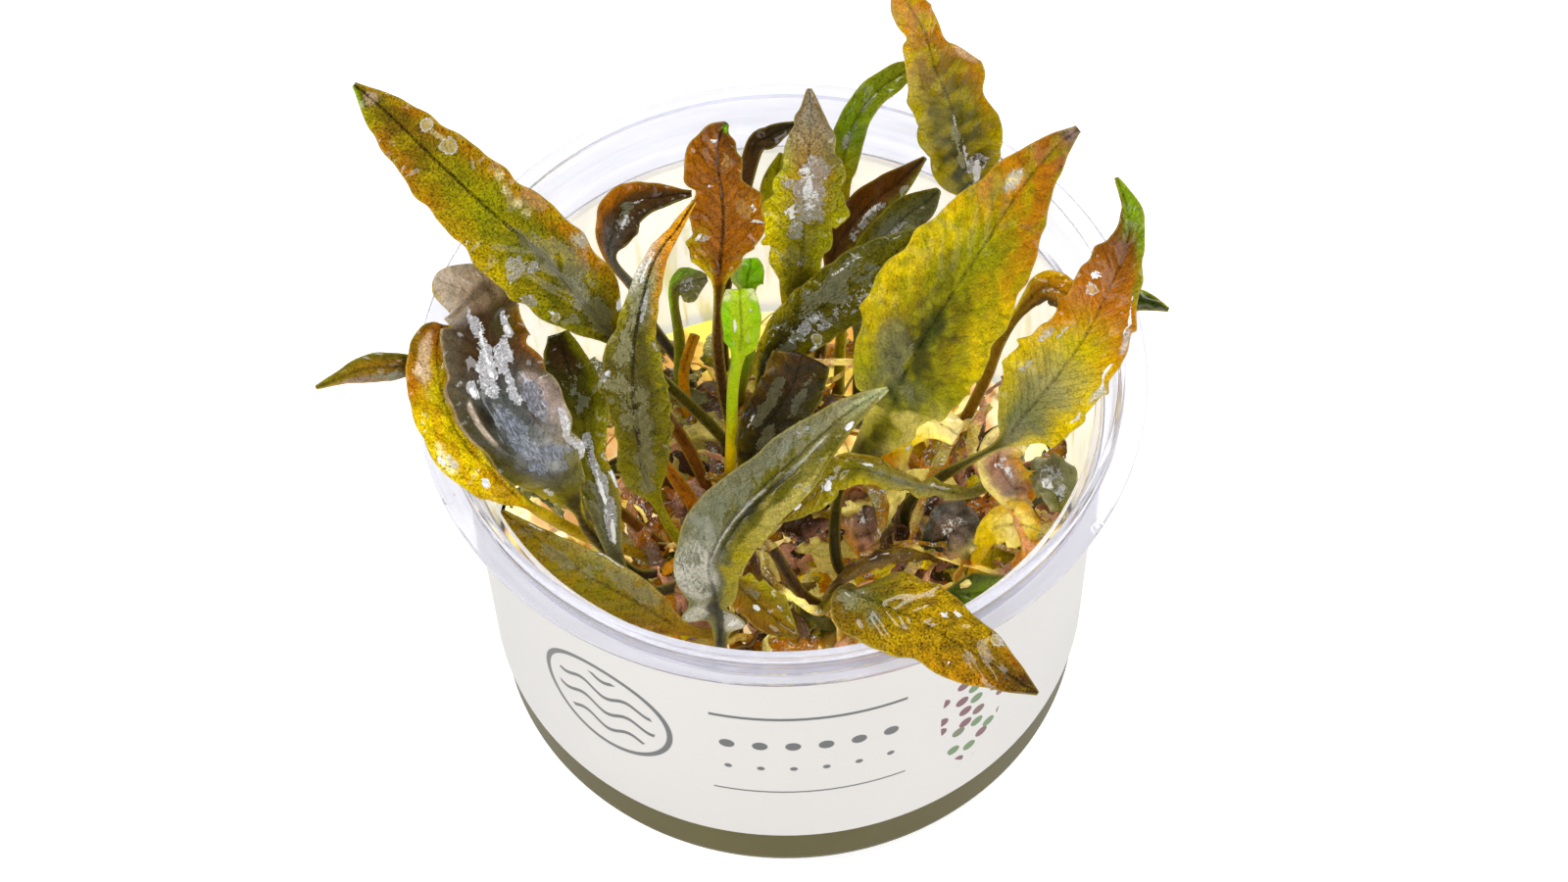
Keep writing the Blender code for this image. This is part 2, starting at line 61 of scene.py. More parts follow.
SOFT_BOXES = {
    "back_soft_box": ((-0.35, 0.75, 0.95), 0.32, 5.8),
    "overhead_soft_box": ((0.5, 0.05, 1.15), 0.4, 6.5),
    "left_soft_box": ((-0.95, -0.15, 0.65), 0.4, 5.0),
    "front_soft_box": ((0.2, -0.95, 0.45), 0.7, 7.5),
}
TABLE_SIDE = 8.0
TABLE_DROP = 0.0002
TABLE_TONE = 0.55
TABLE_GLOW = 0.8
WHITE = (1.0, 1.0, 1.0, 1.0)


def table_white():
    """The table's matt white, with a barely uneven tone and a glow of its own."""
    made = bpy.data.materials.new("table_white")
    made.use_nodes = True
    tree = made.node_tree
    shader = tree.nodes["Principled BSDF"]
    shader.inputs["Roughness"].default_value = 0.8
    shader.inputs["Emission Color"].default_value = WHITE
    shader.inputs["Emission Strength"].default_value = TABLE_GLOW
    grain = tree.nodes.new("ShaderNodeTexNoise")
    grain.inputs["Scale"].default_value = 8.0
    tone = tree.nodes.new("ShaderNodeMix")
    tone.data_type = "RGBA"
    tone.inputs[6].default_value = (TABLE_TONE, TABLE_TONE, TABLE_TONE, 1.0)
    tone.inputs[7].default_value = (0.99 * TABLE_TONE, 0.99 * TABLE_TONE, 0.99 * TABLE_TONE, 1.0)
    tree.links.new(grain.outputs["Fac"], tone.inputs[0])
    tree.links.new(tone.outputs[2], shader.inputs["Base Color"])
    return made


def soft_box(name, place, size, power):
    """A square lamp that faces the middle of the plants."""
    lamp = bpy.data.lights.new(name, "AREA")
    lamp.size = size
    lamp.energy = power
    piece = bpy.data.objects.new(name, lamp)
    bpy.context.scene.collection.objects.link(piece)
    piece.location = place
    piece.rotation_euler = (LAMPS_FACE - Vector(place)).to_track_quat("-Z", "Y").to_euler()


forward = Vector((0.0, math.cos(CAMERA_RISE), -math.sin(CAMERA_RISE)))
level = Vector((1.0, 0.0, 0.0))
upright = Vector((0.0, math.sin(CAMERA_RISE), math.cos(CAMERA_RISE)))
to_right = level * math.cos(CAMERA_ROLL) + upright * math.sin(CAMERA_ROLL)
to_top = upright * math.cos(CAMERA_ROLL) - level * math.sin(CAMERA_ROLL)
lens = bpy.data.cameras.new("camera")
lens.sensor_width = SENSOR
lens.lens = SENSOR * FOCAL_PIXELS / PICTURE_WIDTH
lens.clip_start = NEAR_CLIP
camera = bpy.data.objects.new("camera", lens)
bpy.context.scene.collection.objects.link(camera)
turn = Matrix((to_right, to_top, -forward)).transposed().to_4x4()
camera.matrix_world = Matrix.Translation((CAMERA_TARGET - forward * CAMERA_DISTANCE) * MM) @ turn
bpy.context.scene.camera = camera

sky = bpy.data.worlds.new("sky")
sky.use_nodes = True
sky_nodes = sky.node_tree.nodes
heading = sky_nodes.new("ShaderNodeTexCoord")
towards = sky_nodes.new("ShaderNodeVectorMath")
towards.operation = "DOT_PRODUCT"
towards.inputs[1].default_value = -forward
level_of_light = sky_nodes.new("ShaderNodeMapRange")
level_of_light.interpolation_type = "SMOOTHSTEP"
level_of_light.inputs["From Min"].default_value = SKY_DIMS_BETWEEN[0]
level_of_light.inputs["From Max"].default_value = SKY_DIMS_BETWEEN[1]
level_of_light.inputs["To Min"].default_value = SKY_BRIGHT
level_of_light.inputs["To Max"].default_value = SKY_DIM
sky.node_tree.links.new(heading.outputs["Generated"], towards.inputs[0])
sky.node_tree.links.new(towards.outputs["Value"], level_of_light.inputs["Value"])
sky.node_tree.links.new(level_of_light.outputs["Result"], sky_nodes["Background"].inputs["Strength"])
bpy.context.scene.world = sky
bpy.context.scene.view_settings.view_transform = "Standard"
for box_name, (box_place, box_size, box_power) in SOFT_BOXES.items():
    soft_box(box_name, box_place, box_size, box_power)

bpy.ops.mesh.primitive_plane_add(size=TABLE_SIDE, location=(0, 0, -TABLE_DROP))
table = bpy.context.object
table.name = "table"
table.data.materials.append(table_white())


# The growing cup: one thin tub of clear plastic, moulded in one shot, with a ledge inside,
# a raised ridge that the lid snaps on to and a flat flange outside it.
CUP_HEIGHT = 67.0
FLANGE_RADIUS = 50.5
FLANGE_TOP = 65.6
FLANGE_UNDER = 64.4
RIDGE_INNER = 46.3
RIDGE_OUTER = 47.3
LEDGE_Z = 61.6
LEDGE_RADIUS = 45.6
WALL = 0.9
WALL_TOP_RADIUS = 44.4
WALL_BOTTOM_RADIUS = 43.0
CORNER = 3.0
FLOOR = 1.2
AXIS_HOLE = 0.02
GEL_TOP = 20.0
OLIVE_TO = GEL_TOP - 2.0
MILKY_FROM = 58.2
MARK_RADIUS = 0.9
MARK_DEPTH = 0.0004
MOULD_MARKS = ((-45.5, -19.4), (41.7, -27.3))
TURN_STEPS = 160
SHARP_FROM = math.radians(12)
CLEAR_TONE = (0.97, 0.97, 0.98, 1.0)
RIM_TONE = (0.83, 0.83, 0.905, 1.0)


def daylight(red, green, blue):
    """A colour as it looks in daylight, out of 255, for a shader."""
    parts = []
    for part in (red / 255, green / 255, blue / 255):
        parts.append(((part + 0.055) / 1.055) ** 2.4 if part > 0.04 else part / 12.92)
    return (*parts, 1.0)


class Finish:
    """A material whose nodes are wired up with plain calls."""

    def __init__(self, name, roughness=0.5, coat=0.0):
        self.made = bpy.data.materials.new(name)
        self.made.use_nodes = True
        self.tree = self.made.node_tree
        self.shader = self.tree.nodes["Principled BSDF"]
        self.put("Roughness", roughness)
        self.put("Coat Weight", coat)

    def wire(self, value, socket):
        """A number or colour is set on the socket, and another socket is linked to it."""
        if isinstance(value, bpy.types.NodeSocket):
            self.tree.links.new(value, socket)
        else:
            socket.default_value = value

    def put(self, name, value):
        """One of the shader's own inputs is set or linked."""
        self.wire(value, self.shader.inputs[name])

    def place(self):
        return self.tree.nodes.new("ShaderNodeTexCoord").outputs["Object"]

    def attribute(self, name):
        node = self.tree.nodes.new("ShaderNodeAttribute")
        node.attribute_name = name
        return node.outputs["Vector"]

    def split(self, vector):
        node = self.tree.nodes.new("ShaderNodeSeparateXYZ")
        self.wire(vector, node.inputs[0])
        return node.outputs

    def join(self, x, y, z=0.0):
        node = self.tree.nodes.new("ShaderNodeCombineXYZ")
        for value, socket in zip((x, y, z), node.inputs):
            self.wire(value, socket)
        return node.outputs[0]

    def math(self, operation, *values):
        node = self.tree.nodes.new("ShaderNodeMath")
        node.operation = operation
        for value, socket in zip(values, node.inputs):
            self.wire(value, socket)
        return node.outputs[0]

    def times(self, first, second):
        return self.math("MULTIPLY", first, second)

    def larger(self, first, second):
        return self.math("MAXIMUM", first, second)

    def scale_add(self, value, factor, rest):
        return self.math("MULTIPLY_ADD", value, factor, rest)

    def distance(self, x, y):
        return self.math("SQRT", self.scale_add(x, x, self.times(y, y)))

    def stir(self, noise, amount, value):
        """A value made uneven by a noise, which lies round a half."""
        return self.scale_add(self.math("SUBTRACT", noise, 0.5), amount, value)

    def noise(self, coordinates, scale, detail=3.0, distortion=0.0):
        node = self.tree.nodes.new("ShaderNodeTexNoise")
        self.wire(coordinates, node.inputs["Vector"])
        node.inputs["Scale"].default_value = scale
        node.inputs["Detail"].default_value = detail
        node.inputs["Distortion"].default_value = distortion
        return node.outputs["Fac"]

    def step(self, value, low, high):
        """0 below low, 1 above high, and smooth between them."""
        node = self.tree.nodes.new("ShaderNodeMapRange")
        node.interpolation_type = "SMOOTHSTEP"
        self.wire(value, node.inputs["Value"])
        self.wire(low, node.inputs["From Min"])
        self.wire(high, node.inputs["From Max"])
        return node.outputs["Result"]

    def fade(self, value, low, high):
        """1 below low, 0 above high, and smooth between them."""
        return self.math("SUBTRACT", 1.0, self.step(value, low, high))

    def line(self, value, middle, inner, outer):
        """1 where a value is within inner of its middle, and 0 from outer on."""
        return self.fade(self.math("ABSOLUTE", self.math("SUBTRACT", value, middle)), inner, outer)

    def within(self, value, low, top, soft=0.12):
        """1 between low and top, with soft edges."""
        return self.times(self.step(value, low - soft, low + soft), self.fade(value, top - soft, top + soft))

    def mix(self, share, first, second):
        node = self.tree.nodes.new("ShaderNodeMix")
        node.data_type = "RGBA"
        self.wire(share, node.inputs[0])
        self.wire(first, node.inputs[6])
        self.wire(second, node.inputs[7])
        return node.outputs[2]

    def scaled(self, colour, factor):
        """A colour made lighter or darker by a factor."""
        node = self.tree.nodes.new("ShaderNodeVectorMath")
        node.operation = "SCALE"
        self.wire(colour, node.inputs[0])
        self.wire(factor, node.inputs["Scale"])
        return node.outputs[0]

    def relief(self, height, depth, under=None):
        """Bump of a height between 0 and 1 that stands for a depth in metres."""
        node = self.tree.nodes.new("ShaderNodeBump")
        node.inputs["Strength"].default_value = 1.0
        node.inputs["Distance"].default_value = depth
        self.wire(height, node.inputs["Height"])
        if under is not None:
            self.wire(under, node.inputs["Normal"])
        return node.outputs["Normal"]


def eased(outline, ease, steps=4):
    """A closed outline with each corner rounded by a short curve."""
    points = []
    for here, before, after in zip(outline, outline[-1:] + outline[:-1], outline[1:] + outline[:1]):
        here, before, after = (np.array(p, float) for p in (here, before, after))
        reach_in = min(ease, 0.45 * np.linalg.norm(before - here))
        reach_out = min(ease, 0.45 * np.linalg.norm(after - here))
        start = here + (before - here) / max(np.linalg.norm(before - here), 1e-9) * reach_in
        end = here + (after - here) / max(np.linalg.norm(after - here), 1e-9) * reach_out
        for share in np.linspace(0, 1, steps):
            points.append((1 - share) ** 2 * start + 2 * share * (1 - share) * here + share ** 2 * end)
    return np.array(points)


def mesh_piece(name, points, faces, finish):
    """An object from points in millimetres and faces, with one finish."""
    mesh = bpy.data.meshes.new(name)
    mesh.from_pydata((np.asarray(points) * MM).tolist(), [], faces)
    mesh.validate()
    mesh.shade_smooth()
    piece = bpy.data.objects.new(name, mesh)
    piece.data.materials.append(finish)
    bpy.context.scene.collection.objects.link(piece)
    return piece


def turned(name, outline, finish):
    """A closed outline of (radius, height), off the axis, turned round the Z axis."""
    angles = np.linspace(0, 2 * math.pi, TURN_STEPS, endpoint=False)
    radius, height = outline[:, 0], outline[:, 1]
    points = np.stack([
        np.outer(np.cos(angles), radius),
        np.outer(np.sin(angles), radius),
        np.outer(np.ones(TURN_STEPS), height),
    ], axis=2).reshape(-1, 3)
    grid = np.arange(TURN_STEPS * len(outline)).reshape(TURN_STEPS, len(outline))
    beside, ahead = np.roll(grid, -1, axis=1), np.roll(grid, -1, axis=0)
    faces = np.stack([grid, beside, np.roll(beside, -1, axis=0), ahead], axis=2).reshape(-1, 4)
    piece = mesh_piece(name, points, faces.tolist(), finish)
    piece.data.set_sharp_from_angle(angle=SHARP_FROM)
    return piece


def stands_for(piece, node):
    """The piece rides with the cup and stands for a solid, whose own mesh is hidden."""
    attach(piece, "root")
    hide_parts(node)


def clear_plastic(name, clearness, colour, smoothness, bend, marks=()):
    """Clear moulded plastic with faint rings of flow and small round marks of the mould."""
    finish = Finish(name)
    finish.put("IOR", bend)
    finish.put("Specular IOR Level", 0.4)
    finish.put("Transmission Weight", clearness)
    x, y, z = finish.split(finish.place())
    turn = finish.times(finish.math("ARCTAN2", x, y), 2.5)
    rings = finish.join(turn, finish.times(z, 700.0), finish.times(finish.distance(x, y), 700.0))
    flow = finish.noise(rings, 1.2, 3.0)
    milk = tuple(min(1.0, 1.08 * part) for part in colour[:3])
    finish.put("Base Color", finish.mix(finish.step(flow, 0.42, 0.62), colour, (*milk, 1.0)))
    finish.put("Roughness", finish.scale_add(flow, 0.12, smoothness))
    surface = None
    for mark_x, mark_y in marks:
        off_x = finish.math("SUBTRACT", x, mark_x * MM)
        off_y = finish.math("SUBTRACT", y, mark_y * MM)
        dimple = finish.step(finish.distance(off_x, off_y), MARK_RADIUS * 0.7 * MM, MARK_RADIUS * MM)
        surface = finish.relief(dimple, MARK_DEPTH, surface)
        finish.put("Normal", surface)
    return finish.made


def wall_over_gel():
    """The low part of the wall and the floor, where the wet gel clings and shows through."""
    finish = Finish("wall_over_gel", roughness=0.45)
    place = finish.place()
    cloud = finish.noise(place, 60.0, 3.0)
    gel_tone = finish.mix(cloud, daylight(94, 86, 44), daylight(75, 69, 34))
    height = finish.math("DIVIDE", finish.split(place)[2], MM)
    # Darker at the floor; lighter towards the gel's top, painted light over the shaded gap by the wall.
    gel_tone = finish.mix(finish.step(height, 0.0, 2.5), daylight(62, 58, 26), gel_tone)
    gel_tone = finish.mix(finish.step(height, GEL_TOP - 2.0, GEL_TOP), gel_tone, daylight(150, 140, 70))
    finish.put("Base Color", gel_tone)
    finish.put("Specular IOR Level", 0.12)
    finish.put("Normal", finish.relief(cloud, 0.00001))
    return finish.made


def wall_radius(z):
    """Outer radius of the tapered wall at a height."""
    share = (z - CORNER) / (LEDGE_Z - CORNER)
    return WALL_BOTTOM_RADIUS + share * (WALL_TOP_RADIUS - WALL_BOTTOM_RADIUS)


inner_foot = WALL_BOTTOM_RADIUS - WALL
inner_top = WALL_TOP_RADIUS - WALL
cup_outline = [
    (AXIS_HOLE, FLOOR), (inner_foot - CORNER, FLOOR), (inner_foot - 0.7, FLOOR + 0.9),
    (inner_foot, FLOOR + CORNER), (wall_radius(GEL_TOP) - WALL, GEL_TOP),
    (wall_radius(MILKY_FROM) - WALL, MILKY_FROM), (inner_top, LEDGE_Z),
    (LEDGE_RADIUS, LEDGE_Z + 0.4), (RIDGE_INNER, CUP_HEIGHT), (RIDGE_OUTER, CUP_HEIGHT),
    (RIDGE_OUTER, FLANGE_TOP), (FLANGE_RADIUS, FLANGE_TOP), (FLANGE_RADIUS, FLANGE_UNDER),
    (RIDGE_OUTER - 0.4, FLANGE_UNDER), (LEDGE_RADIUS + WALL, LEDGE_Z - 0.6), (WALL_TOP_RADIUS, LEDGE_Z - 1.2),
    (wall_radius(MILKY_FROM), MILKY_FROM), (wall_radius(OLIVE_TO), OLIVE_TO), (WALL_BOTTOM_RADIUS, CORNER),
    (WALL_BOTTOM_RADIUS - 0.9, 0.9), (WALL_BOTTOM_RADIUS - CORNER, 0.0), (AXIS_HOLE, 0.0),
]
cup = turned("growing_cup", eased(cup_outline, 0.5), clear_plastic("clear_wall", 1.0, CLEAR_TONE, 0.02, 1.0))
cup.data.materials.append(clear_plastic("milky_rim", 0.84, RIM_TONE, 0.1, 1.08, MOULD_MARKS))
cup.data.materials.append(wall_over_gel())
for cup_face in cup.data.polygons:
    outward = cup_face.normal.x * cup_face.center.x + cup_face.normal.y * cup_face.center.y > 0
    if cup_face.center.z > MILKY_FROM * MM:
        cup_face.material_index = 1
    elif cup_face.center.z < (OLIVE_TO if outward else GEL_TOP) * MM:
        cup_face.material_index = 2
stands_for(cup, "cup")


# The label: a band of coated paper that is glued round the wall with a lap at the back. Its
# print is a plain design of this part's own: a rippled round mark, rules, dots and pebbles.
LABEL_BOTTOM = 11.1
LABEL_TOP = 58.0
LABEL_THICKNESS = 0.3
LABEL_GAP = 0.3
PAPER = (0.585, 0.565, 0.54, 1.0)
PAPER_DARK = (0.545, 0.52, 0.49, 1.0)
PAPER_LIGHT = (0.61, 0.595, 0.575, 1.0)
LAP_SHADE = (0.45, 0.44, 0.42, 1.0)
# The inside's colours: a pale white painted as light coming through the paper, and olive for streaks.
INSIDE_WHITE = (0.9, 0.89, 0.84, 1.0)
INSIDE_OLIVE = (0.62, 0.56, 0.16, 1.0)
PRINT_GREY = (0.035, 0.04, 0.04, 1.0)
PRINT_GREEN = (0.09, 0.17, 0.05, 1.0)
PRINT_MAROON = (0.13, 0.03, 0.04, 1.0)
ROUND_MARK = (-28.0, 36.0, 10.5)
RIPPLE_PITCH = 4.4
PRINT_MIDDLE = (-11.5, 16.1)
RULES = ((45.4, 46.1), (24.4, 24.8))
DOT_ROWS = ((38.0, 1.1), (31.5, 0.55))
DOT_SPACING = 4.6
PEBBLES = (27.0, 34.0, 5.5, 15.0)


def label_print(finish, paper, run, high):
    """The paper with a round mark with ripples, two rules, two rows of dots and pebbles."""
    mark_run, mark_high, mark_radius = ROUND_MARK
    away = finish.distance(finish.math("SUBTRACT", run, mark_run), finish.math("SUBTRACT", high, mark_high))
    swell = finish.times(finish.math("SINE", finish.times(run, 0.85)), 0.9)
    waving = finish.math("DIVIDE", finish.math("ADD", high, swell), RIPPLE_PITCH)
    ripples = finish.fade(finish.math("PINGPONG", waving, 0.5), 0.09, 0.12)
    ripples = finish.times(ripples, finish.within(away, -1.0, mark_radius - 2.2))
    round_mark = finish.larger(ripples, finish.within(away, mark_radius - 0.45, mark_radius + 0.45))
    lines = finish.larger(finish.within(high, *RULES[0], 0.1), finish.within(high, *RULES[1], 0.1))
    off_dot = finish.math("WRAP", run, DOT_SPACING / 2, -DOT_SPACING / 2)
    for dot_height, dot_radius in DOT_ROWS:
        dot = finish.distance(off_dot, finish.math("SUBTRACT", high, dot_height))
        lines = finish.larger(lines, finish.fade(dot, dot_radius - 0.1, dot_radius + 0.1))
    ink = finish.larger(round_mark, finish.times(lines, finish.within(run, *PRINT_MIDDLE)))
    paper = finish.mix(finish.times(ink, 0.93), paper, PRINT_GREY)

    pebble = finish.tree.nodes.new("ShaderNodeTexVoronoi")
    pebble.voronoi_dimensions = "2D"
    pebble.inputs["Scale"].default_value = 0.3
    pebble.inputs["Randomness"].default_value = 0.8
    finish.wire(finish.join(run, high), pebble.inputs["Vector"])
    bed_run, bed_high, bed_half_run, bed_half_high = PEBBLES
    off_run = finish.math("DIVIDE", finish.math("SUBTRACT", run, bed_run), bed_half_run)
    off_high = finish.math("DIVIDE", finish.math("SUBTRACT", high, bed_high), bed_half_high)
    bed = finish.math("LESS_THAN", finish.scale_add(off_run, off_run, finish.times(off_high, off_high)), 1.0)
    stones = finish.times(finish.fade(pebble.outputs["Distance"], 0.30, 0.34), bed)
    which = finish.step(finish.split(pebble.outputs["Color"])[0], 0.45, 0.5)
    return finish.mix(stones, paper, finish.mix(which, PRINT_GREEN, PRINT_MAROON))


def label_paper():
    """White coated paper, printed outside; inside, painted light and glow, and olive streaks low down."""
    finish = Finish("label_paper", roughness=0.38)
    place = finish.place()
    x, y, z = finish.split(place)
    fibre = finish.noise(place, 900.0, 4.0)
    paper = finish.mix(finish.times(fibre, 0.3), PAPER, PAPER_DARK)
    paper = finish.mix(finish.times(finish.noise(place, 40.0, 2.0), 0.25), paper, PAPER_LIGHT)
    turn = finish.math("ARCTAN2", x, finish.times(y, -1.0))
    run = finish.times(turn, WALL_TOP_RADIUS)
    paper = label_print(finish, paper, run, finish.math("DIVIDE", z, MM))
    lap = finish.within(finish.math("ABSOLUTE", run), WALL_TOP_RADIUS * math.pi - 0.35, 200.0, 0.05)
    paper = finish.mix(finish.times(lap, 0.5), paper, LAP_SHADE)

    taper = (label_high - label_low) / (LABEL_TOP - LABEL_BOTTOM)
    inner_radius = finish.scale_add(z, taper, (label_low + 0.1 - taper * LABEL_BOTTOM) * MM)
    inside = finish.math("LESS_THAN", finish.distance(x, y), inner_radius)
    streaks = finish.noise(finish.join(finish.times(turn, 9.0), finish.times(z, 25.0)), 3.0, 4.0, 0.4)
    streaks = finish.times(finish.step(streaks, 0.48, 0.66), finish.fade(z, 0.028, 0.058))
    # Inside, a pale colour and a glow painted as light coming through the paper.
    lit = finish.mix(finish.times(streaks, 0.7), INSIDE_WHITE, INSIDE_OLIVE)
    paper = finish.mix(inside, paper, lit)
    finish.put("Base Color", paper)
    finish.put("Emission Color", paper)
    finish.put("Emission Strength", finish.times(inside, 0.7))
    finish.put("Normal", finish.relief(fibre, 0.00002))
    return finish.made


label_low = wall_radius(LABEL_BOTTOM) + LABEL_GAP
label_high = wall_radius(LABEL_TOP) + LABEL_GAP
label_outline = [
    (label_low, LABEL_BOTTOM), (label_high, LABEL_TOP),
    (label_high + LABEL_THICKNESS, LABEL_TOP), (label_low + LABEL_THICKNESS, LABEL_BOTTOM),
]
label = turned("paper_label", eased(label_outline, 0.08, 3), label_paper())
stands_for(label, "label")


# The growing gel: a soft cloudy jelly that was poured in warm, so it fills the bottom of the
# cup to the wall and its top is a little lumpy round the stalks.
GEL_RINGS = 60
GEL_STEPS = 120
GEL_CLEAR = 0.06
GEL_MIDDLE = 0.05
GEL_GLOW = 0.85


def ripple(x, y, size, seed):
    """Smooth unevenness between about -1 and 1, of waves in several directions."""
    draws = np.random.default_rng(seed)
    total = np.zeros_like(np.asarray(x, float))
    for _ in range(6):
        heading, shift = draws.uniform(0, 2 * math.pi, 2)
        length = size * draws.uniform(0.6, 1.6)
        total += np.sin((x * math.cos(heading) + y * math.sin(heading)) * 2 * math.pi / length + shift)
    return total / 3.0


def ring_faces(rings, steps):
    """Faces that join rings of points one after another, closed at both ends."""
    grid = np.arange(rings * steps).reshape(rings, steps)
    ahead = np.roll(grid, -1, axis=1)
    faces = np.stack([grid[:-1], ahead[:-1], ahead[1:], grid[1:]], axis=2).reshape(-1, 4).tolist()
    return faces + [grid[0, ::-1].tolist(), grid[-1].tolist()]


def growing_gel():
    """The jelly's top: pale yellow-green and a painted glow for light coming up through it, and amber."""
    finish = Finish("growing_gel", roughness=0.25, coat=0.6)
    place = finish.place()
    cloud = finish.noise(place, 120.0, 4.0)
    wide = finish.step(finish.noise(place, 45.0, 2.0), 0.35, 0.65)
    fleck = finish.step(finish.noise(place, 420.0, 3.0), 0.56, 0.7)
    top = finish.mix(wide, daylight(252, 246, 200), daylight(232, 214, 84))
    top = finish.mix(finish.times(finish.step(cloud, 0.45, 0.62), 0.8), top, daylight(196, 128, 44))
    top = finish.mix(finish.times(fleck, 0.7), top, daylight(110, 74, 18))
    finish.put("Base Color", top)
    finish.put("Emission Color", top)
    finish.put("Emission Strength", GEL_GLOW)
    finish.put("Normal", finish.relief(cloud, 0.0006))
    return finish.made


def gel_at_wall():
    """The jelly where it lies against the wall: cloudy grey-olive, darker at its foot."""
    finish = Finish("gel_at_wall", roughness=0.6)
    finish.put("Specular IOR Level", 0.0)
    place = finish.place()
    cloud = finish.noise(place, 90.0, 3.0)
    side = finish.mix(cloud, daylight(122, 114, 70), daylight(92, 86, 48))
    side = finish.mix(finish.step(finish.split(place)[2], 0.001, 0.005), daylight(74, 70, 42), side)
    finish.put("Base Color", side)
    # A faint painted glow for light coming through the jelly.
    finish.put("Emission Color", side)
    finish.put("Emission Strength", 0.1)
    finish.put("Normal", finish.relief(cloud, 0.0003))
    return finish.made


def gel_points():
    """Rings of the jelly's lumpy top, from the middle out, then its side and its flat underside."""
    reach = wall_radius(GEL_TOP) - WALL - GEL_CLEAR
    rings = [(GEL_MIDDLE + (reach - GEL_MIDDLE) * k / GEL_RINGS, GEL_TOP) for k in range(GEL_RINGS + 1)]
    rings += [(reach, GEL_TOP - 0.6), (inner_foot - 0.45, FLOOR + CORNER), (inner_foot - CORNER, FLOOR + 0.3),
              (GEL_MIDDLE, FLOOR + 0.3)]
    angles = np.linspace(0, 2 * math.pi, GEL_STEPS, endpoint=False)
    points = []
    for index, (radius, height) in enumerate(rings):
        x, y = radius * np.cos(angles), radius * np.sin(angles)
        lump = 0.0
        if index <= GEL_RINGS:
            lump = 0.35 * ripple(x, y, 14.0, 5) + 0.2 * ripple(x, y, 5.0, 6) - 0.3
            lump = lump * min(1.0, (reach - radius) / 4.0)
        points.append(np.stack([x, y, np.full(GEL_STEPS, height) + lump], axis=1))
    return points


gel_rings = gel_points()
gel_faces = [face[::-1] for face in ring_faces(len(gel_rings), GEL_STEPS)]
gel = mesh_piece("growing_gel", np.concatenate(gel_rings), gel_faces, growing_gel())
gel.data.materials.append(gel_at_wall())
for gel_face in gel.data.polygons:
    if gel_face.center.z < (GEL_TOP - 1.5) * MM or abs(gel_face.normal.z) < 0.3:
        gel_face.material_index = 1
stands_for(gel, "gel")


# The root stocks: short brown stubs, scarred where old leaves came off, that sit half bare
# on the gel. Every leaf grew from one of them.
CROWN_RADIUS = 3.0
CROWN_TOP_RADIUS = 1.6
CROWN_HEIGHT = 5.0
CROWN_GAP = 0.3
CROWN_STEPS = 40
CROWN_RINGS = 24
CROWNS = {
    "left": (-14, -4), "middle": (-5, 10), "back": (7, 22),
    "back_left": (-11, 25), "right": (13, -4), "front": (-3, -17),
}


def crown_tissue():
    """Damp brown tissue with darker rings of leaf scars."""
    finish = Finish("crown_tissue", roughness=0.55, coat=0.3)
    place = finish.place()
    patch = finish.noise(place, 500.0, 5.0)
    scars = finish.step(finish.math("SINE", finish.times(finish.split(place)[2], 7000.0)), 0.3, 0.9)
    colour = finish.mix(patch, daylight(118, 84, 40), daylight(54, 32, 16))
    finish.put("Base Color", finish.mix(finish.times(scars, 0.5), colour, daylight(40, 22, 12)))
    finish.put("Normal", finish.relief(patch, 0.0003))
    return finish.made


crown_finish = crown_tissue()
crown_angles = np.linspace(0, 2 * math.pi, CROWN_STEPS, endpoint=False)
for crown_index, (crown_name, (crown_x, crown_y)) in enumerate(CROWNS.items()):
    crown_points = []
    for share in np.linspace(0, 1, CROWN_RINGS + 1):
        radius = CROWN_RADIUS + share * (CROWN_TOP_RADIUS - CROWN_RADIUS)
        radius = radius * math.sqrt(max(0.02, 1 - max(0.0, share - 0.75) ** 2 * 15))
        bumps = 0.12 * ripple(crown_angles * 3, np.full(CROWN_STEPS, share * 8), 2.5, 30 + crown_index)
        radius = radius * (0.94 + bumps * 0.35)
        crown_points.append(np.stack([
            crown_x + radius * np.cos(crown_angles), crown_y + radius * np.sin(crown_angles),
            np.full(CROWN_STEPS, GEL_TOP + CROWN_GAP + share * CROWN_HEIGHT),
        ], axis=1))
    crown_faces = ring_faces(CROWN_RINGS + 1, CROWN_STEPS)
    crown = mesh_piece("root_stock_" + crown_name, np.concatenate(crown_points), crown_faces, crown_finish)
    stands_for(crown, "crown_" + crown_name)


# The leaf at the upper left: it grew from the middle root stock, leans out over the rim
# and lies on the dark leaf's shoulder. Wet, olive, with amber margins and a green tip.
FOOT_RING = 4.6
FOOT_Z = 20.6
FOOT_STRAIGHT = 3.0
STALK_RADIUS = 0.85
SOLID_HALF = 0.35
BLADE_HALF = 0.13
STALK_SPACING = 0.8
BLADE_SPACING = 0.42
COLUMNS = 33
CURL_FROM = 0.6
LEAST_REACH = 0.15
QUILT_RISE = 0.14
GROOVE_DEPTH = 0.05
GROOVE_WIDTH = 0.5
VEIN_LEAN = 1.25
RELIEF_DEPTH = 0.0002
REFLECTION_COVER = 0.85
SHEEN_COVER = 0.78
SKIN_NOISES = {
    "patch": (0.75, 4.0, 0.4), "speck": (3.2, 4.0, 0.0), "pores": (5.5, 2.0, 0.0),
    "blots": (0.95, 5.0, 0.8), "crumbs": (2.6, 4.0, 1.4), "clouds": (0.5, 3.0, 0.3),
}
TO_FRONT = (0.0, -0.56, 0.83)
UPWARD = (0.0, -0.1, 1.0)

